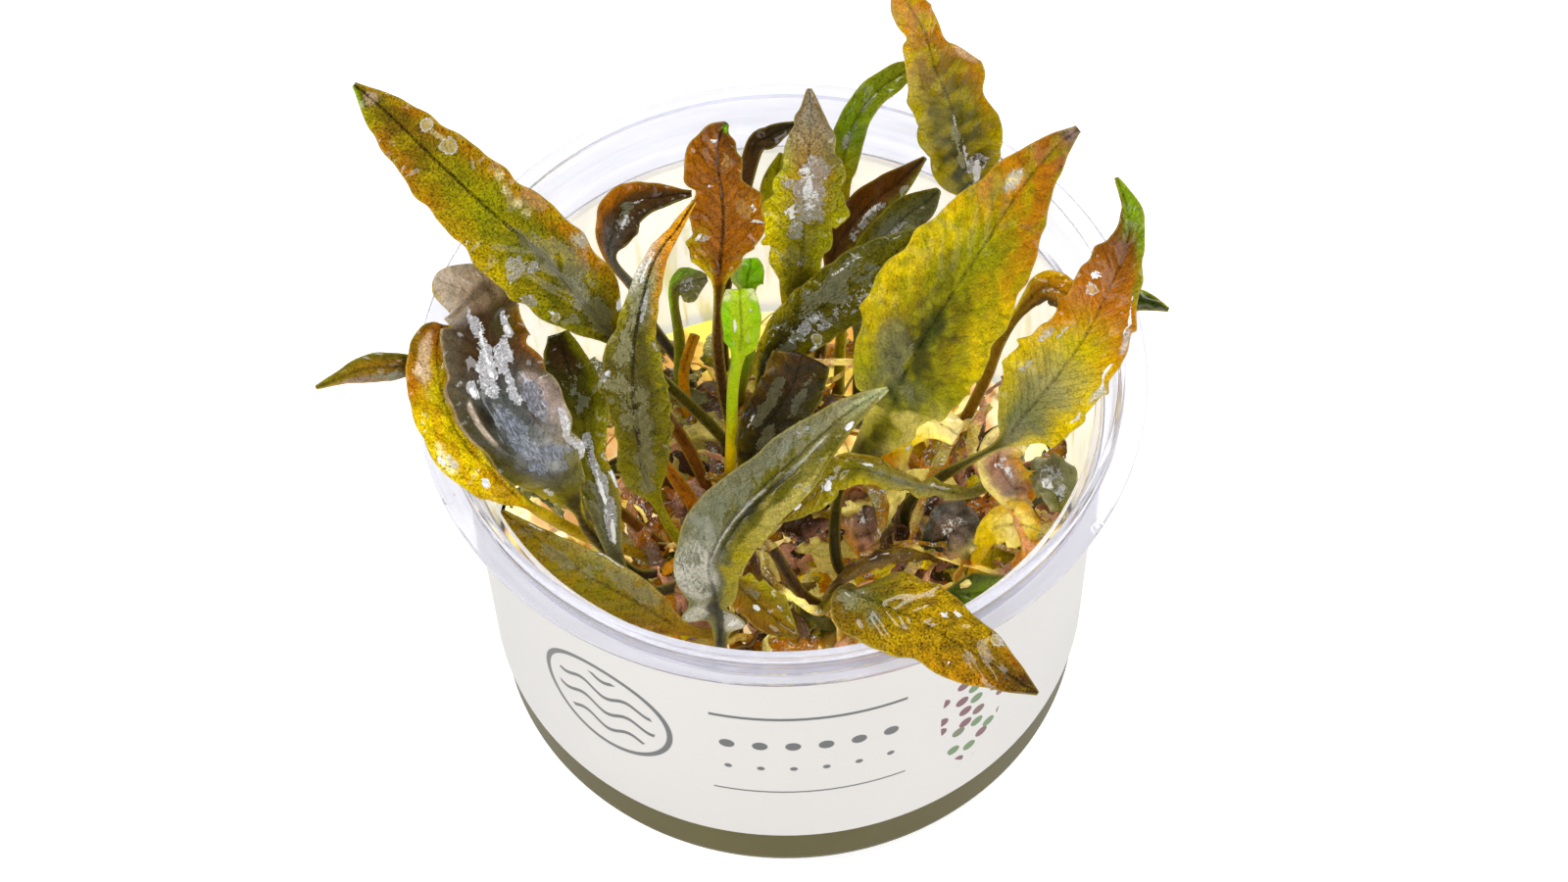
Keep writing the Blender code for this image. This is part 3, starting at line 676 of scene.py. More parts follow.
AMBER = daylight(180, 120, 0)
GOLD = daylight(208, 180, 0)
GOLD_GREEN = daylight(172, 154, 0)
YELLOW_GREEN = daylight(146, 142, 0)
OLIVE = daylight(104, 98, 4)
DARK_OLIVE = daylight(66, 60, 8)
OLIVE_BROWN = daylight(122, 92, 6)
ORANGE_BROWN = daylight(170, 100, 0)
BRIGHT_GREEN = daylight(128, 190, 6)
BEIGE = daylight(196, 166, 128)
CREAM = daylight(222, 206, 140)
# Painted light at the thin margin of a leaf.
PALE_MARGIN = daylight(196, 176, 60)
UNDERSIDE = daylight(128, 128, 92)
# The whites and greys of painted reflections, painted glints and painted sheen.
REFLECTION_WHITE = (0.93, 0.92, 0.95, 1.0)
GLINT_WHITE = (0.95, 0.95, 0.94, 1.0)
SHEEN_GREY = daylight(128, 130, 104)
SHEEN_LIGHT = daylight(178, 178, 152)


def crown_foot(crown, degrees):
    """Where a stalk stands, on the ring round a root stock."""
    turn = math.radians(degrees)
    return CROWNS[crown][0] + FOOT_RING * math.cos(turn), CROWNS[crown][1] + FOOT_RING * math.sin(turn)


def smooth(value, low, high):
    """0 below low, 1 above high, and smooth between them."""
    share = np.clip((value - low) / (high - low), 0.0, 1.0)
    return share * share * (3 - 2 * share)


def along_rows(rows, place):
    """Smooth values at places 0, 1, 2 ... along the rows; the first stretch is straight."""
    span = np.clip(place.astype(int), 0, len(rows) - 2)
    t = (place - span)[:, None]
    a, b = rows[np.maximum(span - 1, 0)], rows[span]
    c, d = rows[span + 1], rows[np.minimum(span + 2, len(rows) - 1)]
    curve = b + 0.5 * t * (c - a + (2 * a - 5 * b + 4 * c - d) * t + (3 * b - a - 3 * c + d) * t * t)
    return np.where(place[:, None] < 1, b + (c - b) * t, curve)


def waves(s, length, seed):
    """A few sines along a margin, uneven in length, between about -1 and 1."""
    draws = np.random.default_rng(seed)
    total = np.zeros_like(s)
    for size, weight in ((1.0, 0.6), (0.62, 0.3), (1.7, 0.35)):
        stretch = length * size * draws.uniform(0.85, 1.15)
        total += weight * np.sin(2 * math.pi * s / stretch + draws.uniform(0, 2 * math.pi))
    return total


def tones(stops, share):
    """Colours along a leaf from stops of (share, colour)."""
    places = [place for place, _ in stops]
    return np.stack([np.interp(share, places, [colour[k] for _, colour in stops]) for k in range(3)], -1)


def spots(marks, share, across, unevenness, core=0.5):
    """The strongest of a few soft oval marks of (share, across, length, width, strength)."""
    total = np.zeros_like(share)
    for place, side, length, width, strength in marks:
        away = ((share - place) / length) ** 2 + ((across - side) / width) ** 2
        total = np.maximum(total, strength * (1 - smooth(np.sqrt(away) + 0.25 * unevenness, core, 1.05)))
    return total


def towards_colour(hue, colour, amount):
    """A painted tone, drawn towards a colour by an amount at each point."""
    return hue + (np.array(colour[:3]) - hue) * amount[..., None]


class LeafFinish(Finish):
    """Wet waxy leaf skin that reads its place, its painted-light marks and its hue from the piece's points.
    """

    def __init__(self, name, rough, wet):
        super().__init__(name, rough, wet)
        self.put("Coat Roughness", 0.05)
        self.put("Specular IOR Level", 0.08)
        self.x, self.s, self.rim = self.split(self.attribute("blade"))
        self.share, self.top = self.split(self.attribute("place"))[1:]
        # The marks are masks of painted light: reflections, glints and sheen.
        self.film_mask, self.glint_mask, self.sheen_mask = self.split(self.attribute("marks"))
        flat = self.join(self.x, self.s, self.times(self.top, 9.0))
        noises = {key: self.noise(flat, *values) for key, values in SKIN_NOISES.items()}
        self.patch, self.speck = noises["patch"], noises["speck"]
        self.blots, self.crumbs, self.clouds = noises["blots"], noises["crumbs"], noises["clouds"]
        self.dots = self.step(noises["pores"], 0.55, 0.63)
        stretched = self.join(self.times(self.x, 2.6), self.times(self.s, 0.7))
        self.streak = self.noise(stretched, 1.5, 4.0, 0.5)

    def veins(self, vein_space):
        """Side veins with the net between them, the pillows that they leave and the midrib."""
        out = self.math("ABSOLUTE", self.x)
        lean = self.scale_add(out, -VEIN_LEAN, self.s)
        phase = self.math("ADD", self.math("DIVIDE", lean, vein_space), self.times(self.patch, 1.1))
        to_rib = self.times(self.math("PINGPONG", phase, 0.5), 2.0)
        net = self.tree.nodes.new("ShaderNodeTexVoronoi")
        net.feature = "DISTANCE_TO_EDGE"
        net.inputs["Scale"].default_value = 0.95
        net_place = self.join(self.scale_add(self.speck, 0.8, self.times(self.x, 1.3)),
                              self.scale_add(self.patch, 1.6, lean))
        self.wire(net_place, net.inputs["Vector"])
        cells = self.fade(net.outputs["Distance"], 0.0, 0.06)
        lines = self.larger(self.fade(to_rib, 0.0, 0.16), self.times(cells, 0.5))
        lines = self.times(lines, self.step(self.share, 0.03, 0.15))
        pillow = self.math("SINE", self.times(to_rib, math.pi / 2))
        rib_line = self.fade(out, 0.08, self.scale_add(self.share, -0.22, 0.42))
        return lines, pillow, self.times(rib_line, self.step(self.share, 0.0, 0.1))

    def tissue(self, lines, pillow, rib_line, mottle, grain, veins, midrib):
        """The painted hue, mottled and veined, paler on the underside, with painted light at the thin rim."""
        tone = self.stir(self.patch, 2.2 * mottle, 1.4)
        tone = self.stir(self.speck, 3.8 * grain, tone)
        tone = self.scale_add(self.dots, -0.8 * grain, tone)
        tone = self.scale_add(lines, -0.42 * veins, tone)
        tone = self.scale_add(self.math("SUBTRACT", pillow, 0.6), 0.5 * veins, tone)
        tone = self.larger(self.scale_add(rib_line, -midrib, tone), 0.12)
        colour = self.scaled(self.attribute("hue"), tone)
        # The rim is drawn paler: painted light coming through the thin margin.
        colour = self.mix(self.times(self.fade(self.rim, 0.05, 0.4), 0.3), colour, PALE_MARGIN)
        return self.mix(self.times(self.math("SUBTRACT", 1.0, self.top), 0.35), colour, UNDERSIDE)

    def painted_sheen(self, colour, sheen_tone, hairs):
        """Painted sheen: flat patches with a light outline and fine painted streaks of light in them."""
        sheen = self.stir(self.clouds, 1.2, self.sheen_mask)
        sheen = self.stir(self.blots, 1.3, sheen)
        sheen = self.stir(self.streak, 1.0, sheen)
        sheen = self.stir(self.speck, 0.5, sheen)
        patch = self.times(self.step(sheen, 0.5, 0.53), self.top)
        outline = self.times(self.top, self.step(self.sheen_mask, 0.1, 0.3))
        outline = self.times(self.line(sheen, 0.515, 0.005, 0.03), outline)
        hair = self.stir(self.streak, 4.0 * hairs, 1.0)
        colour = self.mix(self.times(patch, SHEEN_COVER), colour, self.scaled(sheen_tone[:3], hair))
        colour = self.mix(self.times(outline, 0.6), colour, SHEEN_LIGHT)
        return self.mix(self.times(self.times(patch, self.dots), 0.5), colour, DARK_OLIVE)

    def painted_reflections(self, film_fill):
        """Painted reflections: a white outline, with threads, beads and a faint body inside it."""
        film = self.stir(self.crumbs, 0.9, self.stir(self.blots, 2.4, self.film_mask))
        beads = self.step(self.crumbs, 0.59 - 0.18 * film_fill, 0.63 - 0.18 * film_fill)
        inner = self.larger(film_fill, self.larger(beads, self.line(self.crumbs, 0.47, 0.01, 0.04)))
        inner = self.times(inner, self.step(self.film_mask, 0.0, 0.08))
        outline = self.times(self.line(film, 0.52, 0.01, 0.06), self.step(self.film_mask, 0.15, 0.35))
        return self.times(self.larger(self.times(self.step(film, 0.5, 0.55), inner), outline), self.top)

    def glints(self):
        glint = self.stir(self.blots, 0.9, self.stir(self.crumbs, 1.1, self.glint_mask))
        return self.times(self.step(glint, 0.55, 0.62), self.step(self.glint_mask, 0.02, 0.2))

    def drop_ring_highlight(self, colour, ring_s, ring_x, ring_radius):
        """A water drop's broken white ring, a painted highlight, round a pale middle, and the colour with it.
        """
        away = self.distance(self.math("SUBTRACT", self.x, ring_x), self.math("SUBTRACT", self.s, ring_s))
        away = self.stir(self.blots, 1.5, away)
        ring = self.times(self.line(away, ring_radius, 0.04, 0.2), self.top)
        ring = self.times(ring, self.scale_add(self.step(self.crumbs, 0.42, 0.56), 0.65, 0.35))
        middle = self.times(self.math("LESS_THAN", away, ring_radius), self.top)
        colour = self.mix(self.times(middle, 0.35), colour, CREAM)
        return ring, self.mix(self.times(ring, 0.7), colour, REFLECTION_WHITE)


def leaf_skin(name, rings=(), mottle=0.5, grain=0.5, veins=0.1, rough=0.4, wet=0.3, vein_space=2.6,
              quilt=0.35, midrib=0.5, sheen_tone=SHEEN_GREY, hairs=0.3, film_fill=0.25, glow=0.0):
    """Wet waxy leaf skin: the hue mottled and veined, painted sheen, reflections and glints, and relief."""
    finish = LeafFinish(name, rough, wet)
    lines, pillow, rib_line = finish.veins(vein_space)
    colour = finish.tissue(lines, pillow, rib_line, mottle, grain, veins, midrib)
    colour = finish.painted_sheen(colour, sheen_tone, hairs)
    film = finish.painted_reflections(film_fill)
    colour = finish.mix(finish.times(film, REFLECTION_COVER), colour, REFLECTION_WHITE)
    glint = finish.glints()
    colour = finish.mix(glint, colour, GLINT_WHITE)
    raised = finish.larger(film, glint)
    for ring_s, ring_x, ring_radius in rings:
        ring, colour = finish.drop_ring_highlight(colour, ring_s, ring_x, ring_radius)
        raised = finish.larger(raised, ring)
    finish.put("Base Color", colour)
    # A painted glow: the colour is given off too, for light coming through the thin leaf.
    if glow:
        finish.put("Emission Color", colour)
        finish.put("Emission Strength", glow)
    dull = finish.scale_add(finish.speck, 0.2, rough - 0.1)
    finish.put("Roughness", finish.scale_add(finish.math("SUBTRACT", 1.0, finish.top), 0.2, dull))
    height = finish.scale_add(lines, -0.5, finish.scale_add(finish.speck, 0.5, finish.patch))
    height = finish.scale_add(rib_line, -1.2 * midrib, height)
    height = finish.scale_add(pillow, quilt, height)
    height = finish.scale_add(raised, 0.6, height)
    finish.put("Normal", finish.relief(height, RELIEF_DEPTH))
    return finish.made


def two_sided(values, low=None):
    """Values of the top grid and of the underside, one row for each point of the skin."""
    low = values if low is None else low
    return np.concatenate([values, low[:, ::-1]], axis=1).reshape(-1, values.shape[2])


def closed_skin(top_grid, low_grid):
    """Points and faces of a thin skin between a grid of its top and one of its underside."""
    count, columns = top_grid.shape[:2]
    return two_sided(top_grid, low_grid), ring_faces(count, 2 * columns)


def write_notes(piece, key, values):
    """What the finish reads at each point: place on the leaf, marks or colour."""
    layer = piece.data.attributes.new(key, "FLOAT_VECTOR", "POINT")
    layer.data.foreach_set("vector", np.ascontiguousarray(values, dtype=np.float32).ravel())


def leaf_line(foot, stalk, blade):
    """Stations along the midrib: centre, reaches, solid, distance, share and place in the rows."""
    stalk_rows = [(*foot, FOOT_Z), (*foot, FOOT_Z + FOOT_STRAIGHT), *stalk]
    rows = [(*point, STALK_RADIUS, STALK_RADIUS, STALK_RADIUS) for point in stalk_rows]
    rows = np.array(rows + [(*point, SOLID_HALF) for point in blade], float)
    dense = np.linspace(0, len(rows) - 1, 60 * len(rows))
    path = along_rows(rows, dense)[:, :3]
    run = np.concatenate([[0], np.cumsum(np.linalg.norm(np.diff(path, axis=0), axis=1))])
    base = np.interp(len(stalk_rows), dense, run)
    end = run[-1]
    stations = np.concatenate([
        np.linspace(0, base, max(4, int(base / STALK_SPACING)), endpoint=False),
        np.linspace(base, end, max(12, int((end - base) / BLADE_SPACING))),
    ])
    place = np.interp(stations, run, dense)
    fine = along_rows(rows, place)
    s = stations - base
    share = np.where(s < 0, s / base, s / (end - base))
    place_share = np.where(place < 1, place, 2 * place - 1) / (2 * (len(rows) - 1) - 1)
    return fine[:, :3], fine[:, 3:5], fine[:, 5], stations, s, share, place_share


def leaf_sides(centre, stations, share, place_share, faces, twist):
    """Unit vectors to the leaf's side and up from it, at each station."""
    along = np.gradient(centre, stations, axis=0)
    along /= np.linalg.norm(along, axis=1)[:, None]
    face = np.array(faces[0]) + (np.array(faces[1]) - np.array(faces[0])) * place_share[:, None]
    side = np.cross(along, face)
    side /= np.linalg.norm(side, axis=1)[:, None]
    up = np.cross(side, along)
    if twist:
        turn = np.radians(np.interp(share, [t[0] for t in twist], [t[1] for t in twist]))[:, None]
        side, up = side * np.cos(turn) + up * np.sin(turn), up * np.cos(turn) - side * np.sin(turn)
    return side, up


def unit_normals(grid):
    """The normal of a grid of points, at each point."""
    normal = np.cross(np.gradient(grid, axis=1), np.gradient(grid, axis=0))
    return normal / np.maximum(np.linalg.norm(normal, axis=2), 1e-9)[..., None]


def curled_margin(out, reach, bent):
    """Distance out and height of the outer part of a blade that curls by an angle."""
    margin = (1 - CURL_FROM) * reach
    turned_share = np.clip((out - CURL_FROM) / (1 - CURL_FROM), 0, 1)
    safe = np.where(np.abs(bent) < 0.01, 0.01, bent)
    curled = np.abs(bent) >= 0.01
    x_curl = np.minimum(out, CURL_FROM) * reach + margin / safe * np.sin(safe * turned_share)
    h_curl = margin / safe * (1 - np.cos(safe * turned_share))
    return np.where(curled, x_curl, out * reach), np.where(curled, h_curl, 0)


def blade_margins(reaches, s, share, live, to_left, ruffle, wave, scallop, notches, seed):
    """Reach and ruffle at each point, with a scalloped margin and bites out of it."""
    sides = []
    for key, shift in ((0, 0), (1, 50)):
        reach = reaches[:, key] * (1 + scallop * waves(s, wave * 0.9, seed + shift + 7) * live)
        for where, way, depth, width in notches:
            if way == key:
                reach = reach - depth * np.exp(-((share - where) / width) ** 2)
        sides.append((np.maximum(reach, LEAST_REACH), ruffle * waves(s, wave, seed + shift) * live))
    return (np.where(to_left, sides[0][k][:, None], sides[1][k][:, None]) for k in (0, 1))


def skin_sides(middle_skin, c, x_flat, share, flat, rib):
    """The top and the underside: a round stalk, then a thin blade with a groove over its midrib."""
    normal = unit_normals(middle_skin)
    groove = np.exp(-(x_flat / GROOVE_WIDTH) ** 2) * flat[:, None]
    rib_height = (rib * (1 - 0.75 * np.clip(share, 0, 1)))[:, None]
    stalk_half = STALK_RADIUS * np.sqrt(np.maximum(0.02, 1 - c * c))
    half = stalk_half + (BLADE_HALF * (1 - 0.6 * c ** 4) - stalk_half) * flat[:, None]
    top_grid = middle_skin + normal * (half - GROOVE_DEPTH * groove)[..., None]
    return top_grid, middle_skin - normal * (half + rib_height * groove)[..., None]


def painted(core, outer_left, outer_right, c, uneven, finer, flat, spread):
    """The hue, from the middle's tones to those of each side with an uneven edge between."""
    blend = smooth(np.abs(c) + 0.1 * uneven + 0.06 * finer, *spread)[..., None] * flat[:, None, None]
    return core + (np.where(c[..., None] < 0, outer_left, outer_right) - core) * blend


def grow_leaf(name, node, slot, foot, stalk, blade, faces=(TO_FRONT, TO_FRONT), rise=0.1, fold=(0.0, 0.0),
              ruffle=0.6, wave=8.0, scallop=0.04, curl=(0, 0), twist=(), bumps=(), notches=(), rib=0.45,
              left=None, middle=None, right=None, spread=(0.25, 0.95), patches=(), blotch=None,
              film=(), glints=(), sheen=(), crumple=0.0, light=1.0, seed=1, columns=COLUMNS, **skin):
    """One leaf, stalk and blade in one closed thin skin, painted and given its finish.

    Blade rows are (x, y, z, reach to the left, reach to the right). Shares run from -1 at the
    foot over 0 at the blade's base to 1 at the tip, and across runs from -1 left to 1 right.
    """
    centre, reaches, solid, stations, s, share, place_share = leaf_line(foot, stalk, blade)
    side, up = leaf_sides(centre, stations, share, place_share, faces, twist)
    flat = smooth(STALK_RADIUS - solid, 0.05, STALK_RADIUS - SOLID_HALF)
    live = smooth(share, 0.02, 0.2) * (1 - 0.6 * smooth(share, 0.85, 1.0))
    even = np.linspace(-1, 1, columns)
    c = even + (np.sin(even * math.pi / 2) - even) * (1 - 0.6 * flat[:, None])
    out = np.abs(c)
    to_left = c < 0
    reach, ruff = blade_margins(reaches, s, share, live, to_left, ruffle, wave, scallop, notches, seed)
    bent = np.radians(np.where(to_left, curl[0], curl[1]) * live[:, None])
    x_out, h_curl = curled_margin(out, reach, bent)
    height = rise * reach * c * c * flat[:, None] + h_curl
    height = height + (np.where(to_left, fold[0], fold[1]) * x_out + ruff * out ** 2.5) * flat[:, None]
    for where, way, lift, length, width in bumps:
        height = height + lift * np.exp(-((share[:, None] - where) / length) ** 2 - ((c - way) / width) ** 2)
    x_flat = c * reach
    s_grid = np.broadcast_to(s[:, None], c.shape)
    quilt = ripple(x_flat, s_grid - 1.2 * np.abs(x_flat), 3.4, seed + 90)
    height = height + QUILT_RISE * quilt * live[:, None] * (1 - out ** 4)
    creases = 0.7 * ripple(x_flat, s_grid, 3.2, seed + 91) + 0.3 * ripple(x_flat, s_grid, 1.5, seed + 92)
    height = height + crumple * creases * flat[:, None]
    x_side = np.where(to_left, -x_out, x_out)
    middle_skin = centre[:, None] + side[:, None] * x_side[..., None] + up[:, None] * height[..., None]

    share_grid = np.broadcast_to(share[:, None], c.shape)
    uneven = ripple(x_flat, s_grid, 5.0, seed + 40)
    finer = ripple(x_flat, s_grid, 2.0, seed + 41)
    tone_sets = (middle, left or middle, right or middle)
    core, outer_left, outer_right = (tones(key, share_grid) for key in tone_sets)
    hue = painted(core, outer_left, outer_right, c, uneven, finer, flat, spread)
    if blotch:
        colour, amount, size = blotch
        cloud = smooth(ripple(x_flat, s_grid, size, seed + 60), -0.3, 0.9)
        hue = towards_colour(hue, colour, amount * cloud * flat[:, None])
    for *mark, colour in patches:
        hue = towards_colour(hue, colour, spots([mark], share_grid, c, uneven))
    # Masks of painted light: reflections, glints and sheen.
    marks = np.stack([
        spots(film, share_grid, c, uneven), spots(glints, share_grid, c, finer),
        spots(sheen, share_grid, c, uneven, 0.0),
    ], axis=2)

    skin_grids = skin_sides(middle_skin, c, x_flat, share, flat, rib)
    piece = mesh_piece(name, *closed_skin(*skin_grids), leaf_skin(name, **skin))
    ones = np.ones_like(c)
    write_notes(piece, "blade", two_sided(np.stack([x_flat, s_grid, reach * (1 - out)], axis=2)))
    write_notes(piece, "place", two_sided(np.stack([c, share_grid, ones], axis=2),
                                          np.stack([c, share_grid, 0 * ones], axis=2)))
    write_notes(piece, "marks", two_sided(marks))
    # The light factor scales the whole hue: partly the leaf's own tone, partly painted light and shade for
    # how much light the leaf gets.
    write_notes(piece, "hue", two_sided(hue * light))
    stands_for(piece, node)


grow_leaf(
    "upper_left_leaf", "leaf_upper_left", "leaf_olive", crown_foot("middle", 150),
    [(-9, 10.5, 33), (-17, 8, 52)],
    [(-22.5, 6, 64, 0.8, 0.8), (-26.5, 8, 70, 4.5, 5.3), (-32, 11.5, 77, 7.2, 6.0),
     (-39.5, 16.5, 82, 6.2, 5.7), (-47, 23.5, 85, 5.0, 4.6), (-53, 29, 88, 3.4, 2.6),
     (-57.5, 32.5, 90, 0.3, 0.3)],
    rise=0.12, ruffle=0.9, wave=7.5, scallop=0.06, seed=11,
    middle=[(-1, DARK_OLIVE), (0, DARK_OLIVE), (0.3, OLIVE), (0.55, YELLOW_GREEN), (0.8, OLIVE_BROWN),
            (1, OLIVE)],
    left=[(0, OLIVE), (0.2, YELLOW_GREEN), (0.4, GOLD), (0.65, AMBER), (0.85, AMBER), (1, BRIGHT_GREEN)],
    right=[(0, YELLOW_GREEN), (0.25, AMBER), (0.5, AMBER), (0.8, ORANGE_BROWN), (0.95, ORANGE_BROWN),
           (1, OLIVE)],
    spread=(0.3, 1.0), blotch=(GOLD_GREEN, 0.5, 4.0),
    patches=[(0.95, 0.1, 0.025, 0.7, 0.8, BEIGE), (0.556, 0.8, 0.014, 0.14, 0.9, CREAM),
             (0.51, 0.66, 0.016, 0.1, 0.9, CREAM), (0.47, 0.55, 0.014, 0.12, 0.9, CREAM),
             (0.435, 0.5, 0.012, 0.1, 0.8, CREAM), (0.75, 0.64, 0.04, 0.1, 0.6, CREAM),
             (0.3, 0.88, 0.035, 0.2, 0.8, CREAM)],
    film=[(0.36, -0.52, 0.035, 0.34, 0.66), (0.33, -0.3, 0.02, 0.2, 0.7), (0.27, -0.85, 0.025, 0.14, 0.75),
          (0.3, 0.9, 0.04, 0.2, 0.7)],
    glints=[(0.097, 0.92, 0.018, 0.15, 1.0), (0.2, -0.75, 0.02, 0.1, 0.7)],
    sheen=[(0.06, 0.05, 0.2, 0.7, 1.2), (0.28, 0.0, 0.32, 0.2, 1.1)],
    rings=[(41.8, 2.6, 0.8), (37.5, 2.6, 1.15), (9.6, -4.4, 0.55)], grain=1.0, veins=0.08, quilt=0.3,
    sheen_tone=daylight(108, 104, 66), light=0.66, glow=0.05, midrib=0.9, film_fill=0.08)


# The other leaves of the middle root stock: an orange-brown lobed one that stands up, a
# bright green young one, a broad grey-green one that lies to the back, and a dark folded one.
PALE_GREEN = daylight(206, 214, 150)
LIME = daylight(164, 192, 16)
GREY_OLIVE = daylight(112, 110, 74)
MOSS = daylight(98, 100, 52)
NIGHT = daylight(42, 38, 22)
UMBER = daylight(72, 48, 18)
RED_BROWN = daylight(98, 56, 8)
RUST = daylight(156, 92, 10)

grow_leaf(
    "orange_leaf", "leaf_orange", "leaf_amber", crown_foot("middle", 100),
    [(-8, 14.5, 33), (-9, 14.5, 50)],
    [(-8.5, 15.5, 64, 0.8, 1.0), (-8, 17.5, 68, 4.4, 3.6), (-7.5, 19.5, 73, 4.4, 5.6),
     (-7.5, 21.5, 78, 5.0, 5.2), (-8, 23.5, 82, 4.6, 3.7), (-7.5, 25.5, 85, 2.8, 2.2),
     (-6.5, 26, 87, 0.5, 0.5)],
    rise=0.15, ruffle=1.2, wave=5.0, scallop=0.08, fold=(0.12, 0.12), seed=21,
    notches=[(0.615, 0, 1.5, 0.05), (0.68, 1, 1.5, 0.07), (0.2, 1, 0.8, 0.05)],
    middle=[(-1, NIGHT), (0, RED_BROWN), (0.25, RUST), (0.6, RUST), (1, RED_BROWN)],
    left=[(0, GOLD), (0.28, GOLD), (0.42, RUST), (0.8, ORANGE_BROWN), (1, RED_BROWN)],
    right=[(0, GOLD), (0.2, AMBER), (0.35, ORANGE_BROWN), (0.5, AMBER), (0.62, RUST), (1, RED_BROWN)],
    blotch=(ORANGE_BROWN, 0.6, 3.0), patches=[(0.98, 0.4, 0.03, 0.6, 1.0, BRIGHT_GREEN)],
    film=[(0.3, -0.5, 0.03, 0.2, 0.5)],
    glints=[(0.5, 0.75, 0.04, 0.1, 0.6), (0.88, -0.2, 0.02, 0.2, 0.7), (0.3, -0.75, 0.05, 0.1, 0.7),
            (0.42, 0.8, 0.02, 0.25, 0.8), (0.64, -0.4, 0.02, 0.2, 0.6)],
    sheen=[(0.35, -0.6, 0.12, 0.2, 0.5), (0.78, 0.35, 0.1, 0.4, 0.75), (0.5, 0.5, 0.08, 0.3, 0.7)],
    sheen_tone=daylight(176, 130, 62), grain=0.7, veins=0.25, quilt=0.6, vein_space=1.9, midrib=0.9,
    light=0.66, glow=0.1)

grow_leaf(
    "young_green_leaf", "leaf_young_green", "leaf_bright_green", crown_foot("middle", 225),
    [(-7.5, 8.5, 38), (-7, 10, 47)],
    [(-6, 10.5, 54, 1.0, 1.0), (-5.5, 11, 57, 2.4, 2.4), (-5.5, 12, 61, 2.7, 2.8),
     (-5.5, 13, 64, 2.5, 2.6), (-5.5, 14, 65, 1.9, 1.9)],
    rise=0.3, ruffle=0.3, wave=6.0, seed=22, columns=25,
    middle=[(-1, ORANGE_BROWN), (-0.6, GOLD), (-0.3, LIME), (1, LIME)],
    left=[(0, BRIGHT_GREEN), (0.85, BRIGHT_GREEN), (0.9, PALE_GREEN), (1, PALE_GREEN)],
    right=[(0, LIME), (0.85, BRIGHT_GREEN), (0.9, PALE_GREEN), (1, PALE_GREEN)],
    glints=[(0.5, -0.35, 0.14, 0.12, 0.8), (0.3, 0.4, 0.08, 0.1, 0.7), (0.72, 0.5, 0.05, 0.12, 0.8),
            (0.2, -0.5, 0.05, 0.1, 0.8)], mottle=0.25, grain=0.25, veins=0.1, light=0.9, glow=0.15)

grow_leaf(
    "wide_grey_leaf", "leaf_wide_grey", "leaf_grey_green", crown_foot("middle", 315),
    [(-3, 8, 38)],
    [(-3, 9.5, 50, 0.8, 0.8), (0.5, 11.5, 56, 3.4, 3.8), (7.5, 15.5, 60, 4.2, 4.8),
     (14.5, 19, 63, 3.8, 4.6), (20.5, 22.5, 66, 0.6, 0.6)],
    rise=-0.15, ruffle=0.9, wave=5.5, seed=23,
    middle=[(-1, NIGHT), (0, DARK_OLIVE), (0.3, DARK_OLIVE), (0.6, OLIVE), (1, OLIVE)],
    left=[(0, GOLD_GREEN), (0.5, OLIVE), (1, MOSS)], right=[(0, GOLD_GREEN), (0.4, OLIVE), (1, OLIVE)],
    film=[(0.6, 0.5, 0.35, 0.3, 0.4), (0.35, 0.2, 0.15, 0.4, 0.45)],
    glints=[(0.2, -0.5, 0.08, 0.12, 0.7), (0.3, 0.9, 0.03, 0.1, 0.9), (0.65, -0.6, 0.1, 0.1, 0.6)],
    sheen=[(0.55, -0.2, 0.45, 0.7, 0.85), (0.2, 0.2, 0.2, 0.6, 0.75)], rings=[(11.1, 3.2, 0.65)], grain=0.8,
    light=0.8, sheen_tone=daylight(128, 128, 100), hairs=0.5)

grow_leaf(
    "dark_folded_leaf", "leaf_dark_folded", "leaf_dark", crown_foot("middle", 270), [],
    [(-5.5, 5.5, 32, 1.3, 1.3), (-3, 6, 41, 3.6, 4.8), (1, 6.5, 50, 4.5, 4.6), (3, 8, 57, 4.2, 4.2)],
    rise=0.2, ruffle=1.1, wave=6.0, seed=24,
    middle=[(-1, NIGHT), (0, DARK_OLIVE), (0.5, NIGHT), (1, UMBER)],
    left=[(0, OLIVE), (0.5, UMBER), (1, OLIVE_BROWN)],
    right=[(0, OLIVE), (1, DARK_OLIVE)], blotch=(NIGHT, 0.8, 3.0), light=0.8,
    sheen_tone=daylight(116, 116, 90),
    film=[(0.3, 0.5, 0.1, 0.15, 0.5)], glints=[(0.6, 0.8, 0.05, 0.14, 1.0), (0.4, -0.6, 0.1, 0.08, 0.7)],
    sheen=[(0.55, -0.4, 0.4, 0.35, 0.9), (0.25, 0.2, 0.25, 0.4, 0.85), (0.7, 0.4, 0.3, 0.3, 0.8)], rough=0.3)


# The leaves of the left root stock: a broad dark one with hanging sides that hides most of
# another, a yellow one under it, a small brown one that reaches out, and an upright one.
SLATE = daylight(90, 92, 88)
SLATE_BLUE = daylight(96, 102, 106)
SILVER = daylight(190, 190, 186)
TAUPE = daylight(104, 92, 68)
MAUVE = daylight(124, 100, 84)
KHAKI = daylight(138, 130, 72)
PALE_HOOD = daylight(236, 214, 186)
PALE_MAUVE = daylight(196, 172, 160)
STRAW = daylight(188, 172, 84)

